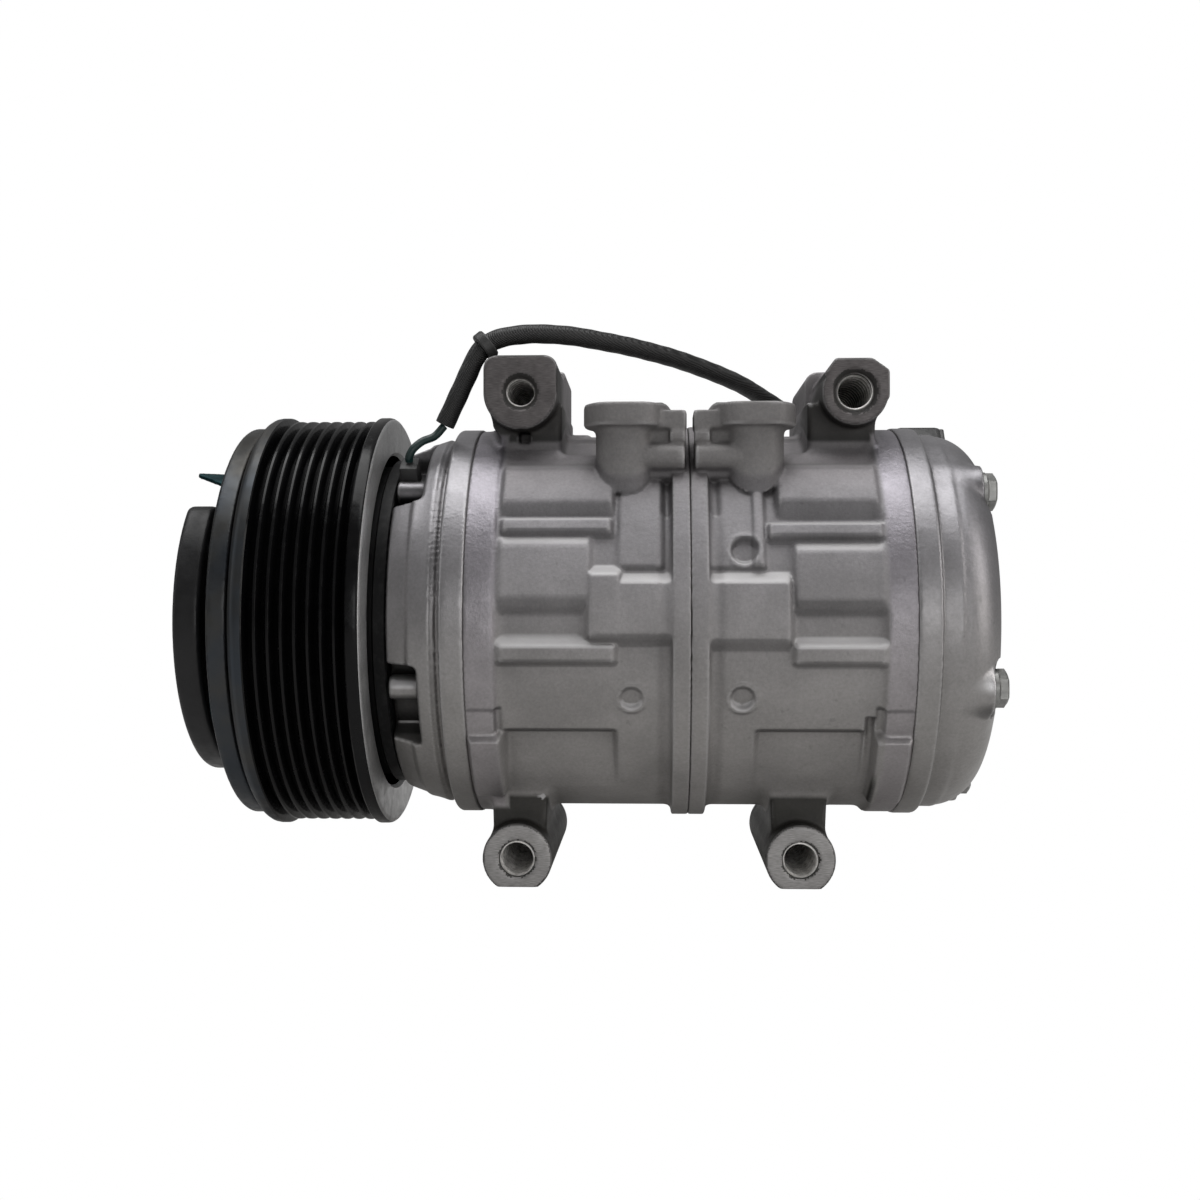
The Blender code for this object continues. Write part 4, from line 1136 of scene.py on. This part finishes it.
def make_rear_housing():
    """The rear cover: a flange, a step, and a domed end with five bolt bosses."""
    face = REAR_PARTING + PARTING_GAP
    inner = REAR_PARTING + STACK_DEPTH
    block = Block((face - 0.5, -59, -59), (85, 59, 59), CASTING_GRID)

    def dome(x, y, z):
        return corner(np.hypot(y, z) - 55.3 + 0.06 * (x - 66), np.maximum(x - 84.0, face - x), 12.0)

    def flat_front(x, y, z):
        return capped(np.hypot(y, z) - 55.3, x, face, 72.0, 0.4)
    block.join(dome)
    block.join(flat_front, blend=0.5)
    block.join(rod("X", 0, 0, 57.3, face, 66.0, 0.5), blend=0.8)
    for y, z in BOLTS:
        boss = rod("X", y, z, 7.4, 66.0, 84.4, 0.8)
        seat = rod("X", y, z, 8.2, BOLT_SEAT, 90.0, 0.2)
        block.join(boss, (62, y - 14, z - 14), (86, y + 14, z + 14), 2.0)
        block.carve(seat, (79, y - 14, z - 14), (90, y + 14, z + 14), 0.5)

    def pocket(x, y, z):
        """Between radial ribs on the cover's end, a shallow pocket."""
        turn = np.degrees(np.arctan2(z, -y)) - FIRST_BOLT_DEG
        away = np.abs((turn + 36) % 72 - 36)
        reach = np.hypot(y, z)
        side = np.minimum(reach * np.sin(np.radians(away)), reach) - 2.2
        return corner(corner(between(reach, 15.5, 34.5), -side, 1.5), 82.8 - x, 0.5)
    block.carve(pocket, (81, -59, -59), (86, 59, 59), 0.5)
    for y, z in BOLTS:
        block.carve(rod("X", y, z, BOLT_HOLE_R, 55.0, 90.0), (55, y - 9, z - 9), (90, y + 9, z + 9))
    block.carve(rod("X", 0, 0, STACK_R, 50.0, inner))

    def plenum(x, y, z):
        return capped(between(np.hypot(y, z), 14.0, 40.0), x, inner - 3, 78.0, 0.5)
    block.carve(plenum)
    mesh = block_mesh("rear_housing_casting", block, COVER_LIMIT)
    place_piece("rear_housing_casting", mesh, "casing", "cover", ["rear_housing"])


def hex_head(name, low, high, centre, across, flange_r, socket_r):
    """A flanged hexagon head facing +X, with a shallow dish, as a closed mesh."""
    steps = 48
    rings = [
        (low, flange_r, 0.0),
        (low + 0.9, flange_r, 0.0),
        (low + 1.3, flange_r - 0.6, 0.4),
        (low + 1.5, across / 2, 1.0),
        (high - 0.5, across / 2, 1.0),
        (high, across / 2 - 0.4, 0.55),
        (high, socket_r, 0.0),
        (high - 0.7, socket_r - 0.6, 0.0),
    ]
    points = []
    for x, radius, squared in rings:
        for step in range(steps):
            angle = 2 * math.pi * step / steps
            within = (angle + math.pi / 6) % (math.pi / 3) - math.pi / 6
            reach = radius * (1 - squared + squared / math.cos(within))
            points.append((x, centre[0] + reach * math.cos(angle), centre[1] + reach * math.sin(angle)))
    mesh = mesh_from(name, points, ring_faces(len(rings), steps) + end_faces(len(rings), steps))
    tidy_mesh(mesh, 25)
    return mesh


def joined(name, *meshes):
    """Several meshes as one, their insides left alone."""
    bm = bmesh.new()
    for mesh in meshes:
        bm.from_mesh(mesh)
        bpy.data.meshes.remove(mesh)
    whole = bpy.data.meshes.new(name)
    bm.to_mesh(whole)
    bm.free()
    whole.shade_smooth()
    whole.set_sharp_from_angle(angle=math.radians(32))
    return whole


def make_bolts():
    outline = [(-72.8, 0.01), (-72.8, 2.4), (-72.2, 2.8), (81.6, 2.8), (81.6, 0.01)]
    for index, centre in enumerate(BOLTS):
        head = hex_head("head", BOLT_SEAT + 0.3, BOLT_SEAT + 4.1, centre, 9.2, 5.5, 3.0)
        shank = turned("shank", outline, 24, centre)
        name = f"through_bolt_{index + 1}"
        whole = joined(name, head, shank)
        place_piece(f"{name}_hex", whole, "casing", "zinc_bolt", [name])


# ---------------------------------------------------------------- pulley, coil and clutch

def quarter(x, radius, size, first):
    """Points of a quarter round of an outline, from an angle in degrees down to 90 less."""
    angles = [math.radians(first - 22.5 * k) for k in range(5)]
    return [(x + size[0] * math.cos(angle), radius + size[1] * math.sin(angle)) for angle in angles]


def pulley_outline():
    """(x, radius) down the rim's grooves and back through the hub."""
    outline = [(PULLEY_FACE, 30.6), (PULLEY_FACE, 57.6)]
    outline += quarter(-120.6, PULLEY_R - 2.2, (2.4, 2.2), 180)
    left_edge = FIRST_RIB - RIB_PITCH + 0.55
    outline += [(left_edge - 0.35, PULLEY_R), (left_edge, PULLEY_R - 0.3)]
    for index in range(RIB_COUNT + 1):
        crest = FIRST_RIB + RIB_PITCH * index
        root = crest - RIB_PITCH / 2
        outline += [(root - 0.32, RIB_ROOT_R + 0.25), (root, RIB_ROOT_R), (root + 0.32, RIB_ROOT_R + 0.25)]
        if index < RIB_COUNT:
            flank = RIB_CREST_R - 0.35
            outline += [(crest - 0.62, flank), (crest - 0.3, RIB_CREST_R)]
            outline += [(crest + 0.3, RIB_CREST_R), (crest + 0.62, flank)]
    right_edge = FIRST_RIB + RIB_PITCH * RIB_COUNT - 0.55
    outline += [(right_edge, PULLEY_R - 0.3), (right_edge + 0.35, PULLEY_R)]
    outline += quarter(PULLEY_BACK - 1.6, PULLEY_R - 1.6, (1.6, 1.6), 90)
    outline += [
        (PULLEY_BACK, 50.8), (PULLEY_BACK - 1.0, 49.8), (-116.0, 49.8), (-118.0, 48.0), (-118.0, 30.8),
        (-117.2, 30.0), (-94.0, 30.0), (-93.5, 29.5), (-93.5, 26.1), (-117.3, 26.1),
        (-117.3, 22.8), (-119.0, 22.8), (-119.0, 30.6),
    ]
    return outline


def make_pulley():
    mesh = turned("pulley_grooved", pulley_outline(), RIM_STEPS)
    surfaces = ("pulley_black", "pulley_back", "armature_steel")

    def rule(centres, normals):
        back = (normals[:, 0] > 0.7) & (centres[:, 0] > PULLEY_BACK - 1.2)
        lip = (centres[:, 0] < -119.2) & (np.hypot(centres[:, 1], centres[:, 2]) > 50)
        return back + 2 * lip
    place_piece("pulley_grooved", mesh, "pulley_rotor", surfaces, ["pulley"], rule)


def make_coil():
    shell = [
        (-113.0, 32.7), (-113.0, 34.2), (-91.0, 34.2), (-91.0, 44.8), (-113.0, 44.8), (-113.0, 46.1),
        (-112.6, 46.5), (-86.6, 46.5), (-86.6, 48.0), (-86.2, 48.4), (-83.2, 48.4), (-82.8, 48.0),
        (-82.8, 17.8), (-86.6, 17.8), (-86.6, 32.5),
    ]
    mesh = turned("coil_shell_drawn", shell, 144)
    place_piece("coil_shell_drawn", mesh, "casing", "coil_black", ["coil_shell"])
    parts = []
    for along, out, size in (
        (0.0, 50.2, (5.2, 6.8, 7.2)),
        (-0.6, 46.4, (5.0, 8.2, 1.4)),
        (0.8, 53.2, (3.0, 5.0, 1.4)),
    ):
        y, z = beside(TERMINAL_DEG, out)
        turn = Matrix.Rotation(math.radians(90 - TERMINAL_DEG), 4, "X")
        place = Matrix.Translation((TERMINAL_X, y, z)) @ turn
        parts.append(edged_box((along, 0, 0), size, 0.6, place, 2))
    place_piece("coil_terminal_moulded", joined("coil_terminal_moulded", *parts), "casing",
                "black_plastic", ["coil_terminal"])


def edged_box(centre, size, bevel, place, segments=3):
    """A box with rounded edges, put where a matrix of the shaft frame takes it."""
    bm = bmesh.new()
    bmesh.ops.create_cube(bm, size=1)
    bmesh.ops.scale(bm, verts=bm.verts, vec=Vector(size))
    bmesh.ops.bevel(bm, geom=bm.edges[:], offset=bevel, segments=segments, affect="EDGES", profile=0.5)
    bmesh.ops.translate(bm, verts=bm.verts, vec=Vector(centre))
    bm.transform(place)
    bm.transform(Matrix.Translation(ORIGIN) @ Matrix.Scale(MM, 4))
    mesh = bpy.data.meshes.new("box")
    bm.to_mesh(mesh)
    bm.free()
    return mesh


def angle_from(y, z, start):
    """The angle about the shaft, counted from start, between half a turn back and half on."""
    return np.arctan2(z * math.cos(start) - y * math.sin(start), y * math.cos(start) + z * math.sin(start))


def make_armature():
    """A turned friction plate with curved flux slots and three rivet posts."""
    block = Block((-132, -59, -59), (-123, 59, 59), CLUTCH_GRID)

    def plate(x, y, z):
        width = between(np.hypot(y, z), ARMATURE_INNER_R, ARMATURE_R)
        return capped(width, x, ARMATURE_BACK, ARMATURE_FACE, 0.6)
    block.join(plate)
    for index in range(3):
        turn = math.radians(-30 + 120 * index)
        y, z = 45.5 * math.cos(turn), 45.5 * math.sin(turn)
        block.join(rod("X", y, z, 3.5, -131.0, -127.0, 0.3), blend=0.5)
    for index in range(6):
        middle = math.radians(60 * index)

        def slot(x, y, z, middle=middle):
            away = np.abs(angle_from(y, z, middle)) - math.radians(20)
            return np.maximum(between(np.hypot(y, z), 38.7, 41.3), away * 40.0) + 0 * x
        block.carve(slot)
    mesh = block_mesh("armature_slotted", block, CLUTCH_LIMIT)
    place_piece("armature_slotted", mesh, "armature_plate", "armature_steel",
                ["armature"])


def make_hub():
    """The clutch hub: a round plate with a flat, a raised rim, a boss and three rivets."""
    block = Block((-144, -47, -47), (-117, 47, 47), CLUTCH_GRID)

    def outline(y, z):
        return corner(np.hypot(y, z) - HUB_R, z - HUB_FLAT, 2.0)

    def plate(x, y, z):
        return capped(outline(y, z), x, HUB_FACE, -135.1, 1.3)

    def dish(x, y, z):
        return capped(outline(y, z) + 5.2, x, -150.0, -141.6, 0.8)

    def well(x, y, z):
        return capped(np.hypot(y, z) - 13.0, x, -150.0, -137.4, 0.8)
    block.join(plate)
    block.carve(dish, blend=0.8)
    block.join(rod("X", 0, 0, 17.0, HUB_FACE, -137.0, 0.8), blend=1.2)
    block.join(rod("X", 0, 0, 12.5, -137.5, -118.4, 0.5), blend=1.0)
    for lobe in range(3):
        turn = math.radians(-90 + 120 * lobe)
        y, z = 36.0 * math.cos(turn), 36.0 * math.sin(turn)
        block.join(rod("X", y, z, 4.6, -142.7, -138.0, 0.9), blend=0.6)
        y, z = 38.0 * math.cos(turn), 38.0 * math.sin(turn)
        block.join(rod("X", y, z, 4.0, -136.0, -132.35, 0.2), blend=0.4)
    block.carve(well)
    block.carve(rod("X", 0, 0, 6.2, -150.0, -110.0, 0.1))
    mesh = block_mesh("clutch_hub_pressed", block, CLUTCH_LIMIT)
    place_piece("clutch_hub_pressed", mesh, "shaft_rotor", "hub_black", ["clutch_hub"])
    head = hex_head("head", 0.0, 3.8, (0, 0), 12.2, 7.4, 4.2)
    for vertex in head.vertices:
        vertex.co.x = ORIGIN.x - 137.75 * MM - (vertex.co.x - ORIGIN.x)
    head.flip_normals()
    shank = turned("shank", [(-138.0, 0.01), (-138.0, 3.9), (-134.4, 3.9), (-134.4, 0.01)], 24)
    place_piece("hub_bolt_hex", joined("hub_bolt_hex", head, shank), "shaft_rotor",
                "zinc_bolt", ["hub_bolt"])


def make_spring():
    """Three sprung leaves between hub and armature, and the bent tab at the rim."""
    block = Block((-141, -54, -54), (-130, 54, 54), SPRING_GRID)

    def ring(x, y, z):
        return capped(between(np.hypot(y, z), 24.5, 37.5), x, SPRING_FACE, SPRING_BACK, 0.2)
    block.join(ring)
    for arm in range(3):
        start = math.radians(-90 + 120 * arm)

        def leaf(x, y, z, start=start):
            turn = angle_from(y, z, start)
            middle = 38.0 + 7.5 * np.clip(turn / math.radians(60), 0, 1)
            band = np.abs(np.hypot(y, z) - middle) - 5.0
            ends = (np.abs(turn - math.radians(30)) - math.radians(38)) * 42
            return capped(np.maximum(band, ends), x, SPRING_FACE, SPRING_BACK, 0.2)
        block.join(leaf, blend=0.3)
    turn = math.radians(TAB_DEG)

    def tab(x, y, z):
        out = -131.2 - x
        along = y * math.cos(turn) + z * math.sin(turn) - TAB_CIRCLE_R
        across = z * math.cos(turn) - y * math.sin(turn)
        section = corner(np.abs(along - 0.25 * out) - 0.6, np.abs(across) - 3.2 + 0.30 * out, 0.4)
        return capped(section, x, -139.4, SPRING_BACK, 0.2)
    block.join(tab, blend=0.5)
    mesh = block_mesh("leaf_spring_pressed", block, SPRING_LIMIT)
    place_piece("leaf_spring_pressed", mesh, "shaft_rotor", "spring_steel",
                ["leaf_spring"])


# ---------------------------------------------------------------- clutch lead

LEAD_ROUTE = [
    (-69.6, -27.0, 56.2), (-67.6, -27.6, 60.2), (-65.0, -28.1, 65.6), (-62.6, -28.2, 70.8),
    (-60.6, -28.2, 75.0), (-57.8, -28.0, 78.6), (-53.5, -27.2, 80.8), (-48.0, -25.6, 82.0),
    (-42.5, -24.0, 82.5), (-34.0, -20.0, 82.6), (-25.7, -15.0, 82.0), (-18.0, -10.0, 81.3),
    (-11.0, -5.0, 80.4), (-3.5, 1.0, 79.3), (4.4, 8.0, 77.7), (11.5, 14.0, 75.9),
    (18.5, 21.5, 73.9), (27.0, 32.0, 70.5), (36.0, 40.5, 66.4), (46.0, 43.0, 61.8),
    (55.5, 40.6, 57.2), (60.6, 38.7, 55.3), (65.4, 38.2, 54.7),
]
WIRE_ROUTE = [
    (-79.4, -29.6, 45.6), (-79.2, -30.4, 46.9), (-78.0, -30.6, 49.0), (-75.6, -29.4, 51.2),
    (-72.4, -27.8, 52.8), (-69.8, -27.0, 55.8),
]


def smooth_route(route, steps):
    """Points along a smooth curve through a route's own points."""
    stops = [Vector(stop) for stop in route]
    stops = [2 * stops[0] - stops[1], *stops, 2 * stops[-1] - stops[-2]]
    points = []
    for index in range(1, len(stops) - 2):
        before, start, end, after = stops[index - 1:index + 3]
        for k in range(steps):
            t = k / steps
            points.append(0.5 * (
                2 * start
                + (end - before) * t
                + (2 * before - 5 * start + 4 * end - after) * t ** 2
                + (3 * start - before - 3 * end + after) * t ** 3
            ))
    points.append(stops[-2])
    return points


def tube_mesh(name, points, radius_at, sides):
    """A round tube along points, its radius a function of the distance from its start."""
    rings = []
    travelled = 0.0
    side = None
    for index, place in enumerate(points):
        ahead = points[min(index + 1, len(points) - 1)] - points[max(index - 1, 0)]
        ahead.normalize()
        if side is None:
            side = ahead.orthogonal().normalized()
        side = (side - ahead * side.dot(ahead)).normalized()
        up = ahead.cross(side)
        if index:
            travelled += (place - points[index - 1]).length
        radius = radius_at(travelled)
        for step in range(sides):
            angle = 2 * math.pi * step / sides
            rings.append(place + (side * math.cos(angle) + up * math.sin(angle)) * radius)
    faces = ring_faces(len(points), sides) + end_faces(len(points), sides)
    mesh = mesh_from(name, [tuple(v) for v in rings], faces)
    tidy_mesh(mesh, 60)
    return mesh


def make_lead():
    def sleeve_radius(travelled):
        return SLEEVE_R + 0.05 * math.sin(travelled * 0.9)
    sleeve = tube_mesh("lead_sleeve_braided", smooth_route(LEAD_ROUTE, 6), sleeve_radius, 20)
    place_piece("lead_sleeve_braided", sleeve, "casing", "lead_sleeving",
                ["lead_sleeve"])
    wire = tube_mesh("lead_wire_green", smooth_route(WIRE_ROUTE, 6), lambda travelled: WIRE_R, 14)
    place_piece("lead_wire_green", wire, "casing", "lead_wire", ["lead_wire"])
    here = Vector(LEAD_ROUTE[5])
    along = (Vector(LEAD_ROUTE[6]) - Vector(LEAD_ROUTE[4])).normalized()
    turn = Vector((1, 0, 0)).rotation_difference(along)
    band = [(-1.5, 2.7), (-1.5, 3.9), (-1.1, 4.2), (1.1, 4.2), (1.5, 3.9), (1.5, 2.7)]
    clip = turned("clip", band, 40)
    for vertex in clip.vertices:
        local = (vertex.co - ORIGIN) / MM
        vertex.co = ORIGIN + (here + turn @ local) * MM
    place_piece("lead_clip_band", clip, "casing", "black_plastic", ["lead_clip"])
    turn = Matrix.Rotation(math.radians(CONNECTOR_DEG), 4, "X")
    parts = []
    for centre, size, bevel in (
        ((75.9, 0, 66.6), (15.0, 13.6, 11.2), 2.0),
        ((67.6, 0, 66.6), (2.6, 9.6, 8.0), 0.8),
        ((83.2, 0, 66.6), (2.2, 12.0, 9.6), 0.6),
        ((75.0, 0, 72.0), (9.0, 4.6, 0.8), 0.3),
    ):
        parts.append(edged_box(centre, size, bevel, turn))
    place_piece("lead_connector_moulded", joined("lead_connector_moulded", *parts), "casing",
                "black_plastic", ["lead_connector"])
    bracket = [
        edged_box((75.2, 0, 60.0), (11.0, 12.0, 0.8), 0.25, turn),
        edged_box((72.0, 0, 57.9), (4.0, 8.0, 4.4), 0.25, turn),
    ]
    place_piece("connector_bracket_bent", joined("connector_bracket_bent", *bracket), "casing",
                "steel_plate", ["connector_bracket"])


def finish_frame_nodes():
    """Every CAD node takes the finish of its slot, also those that a piece replaces."""
    for subpart in frame["record"]["subparts"]:
        mesh = frame["nodes"][subpart["node"]].data
        mesh.materials.clear()
        mesh.materials.append(FINISHES[subpart["material_slot"]])


make_camera()
make_studio()
make_floor()
finish_frame_nodes()
make_cylinders()
make_front_housing()
make_rear_housing()
make_bolts()
make_pulley()
make_coil()
make_armature()
make_hub()
make_spring()
make_lead()
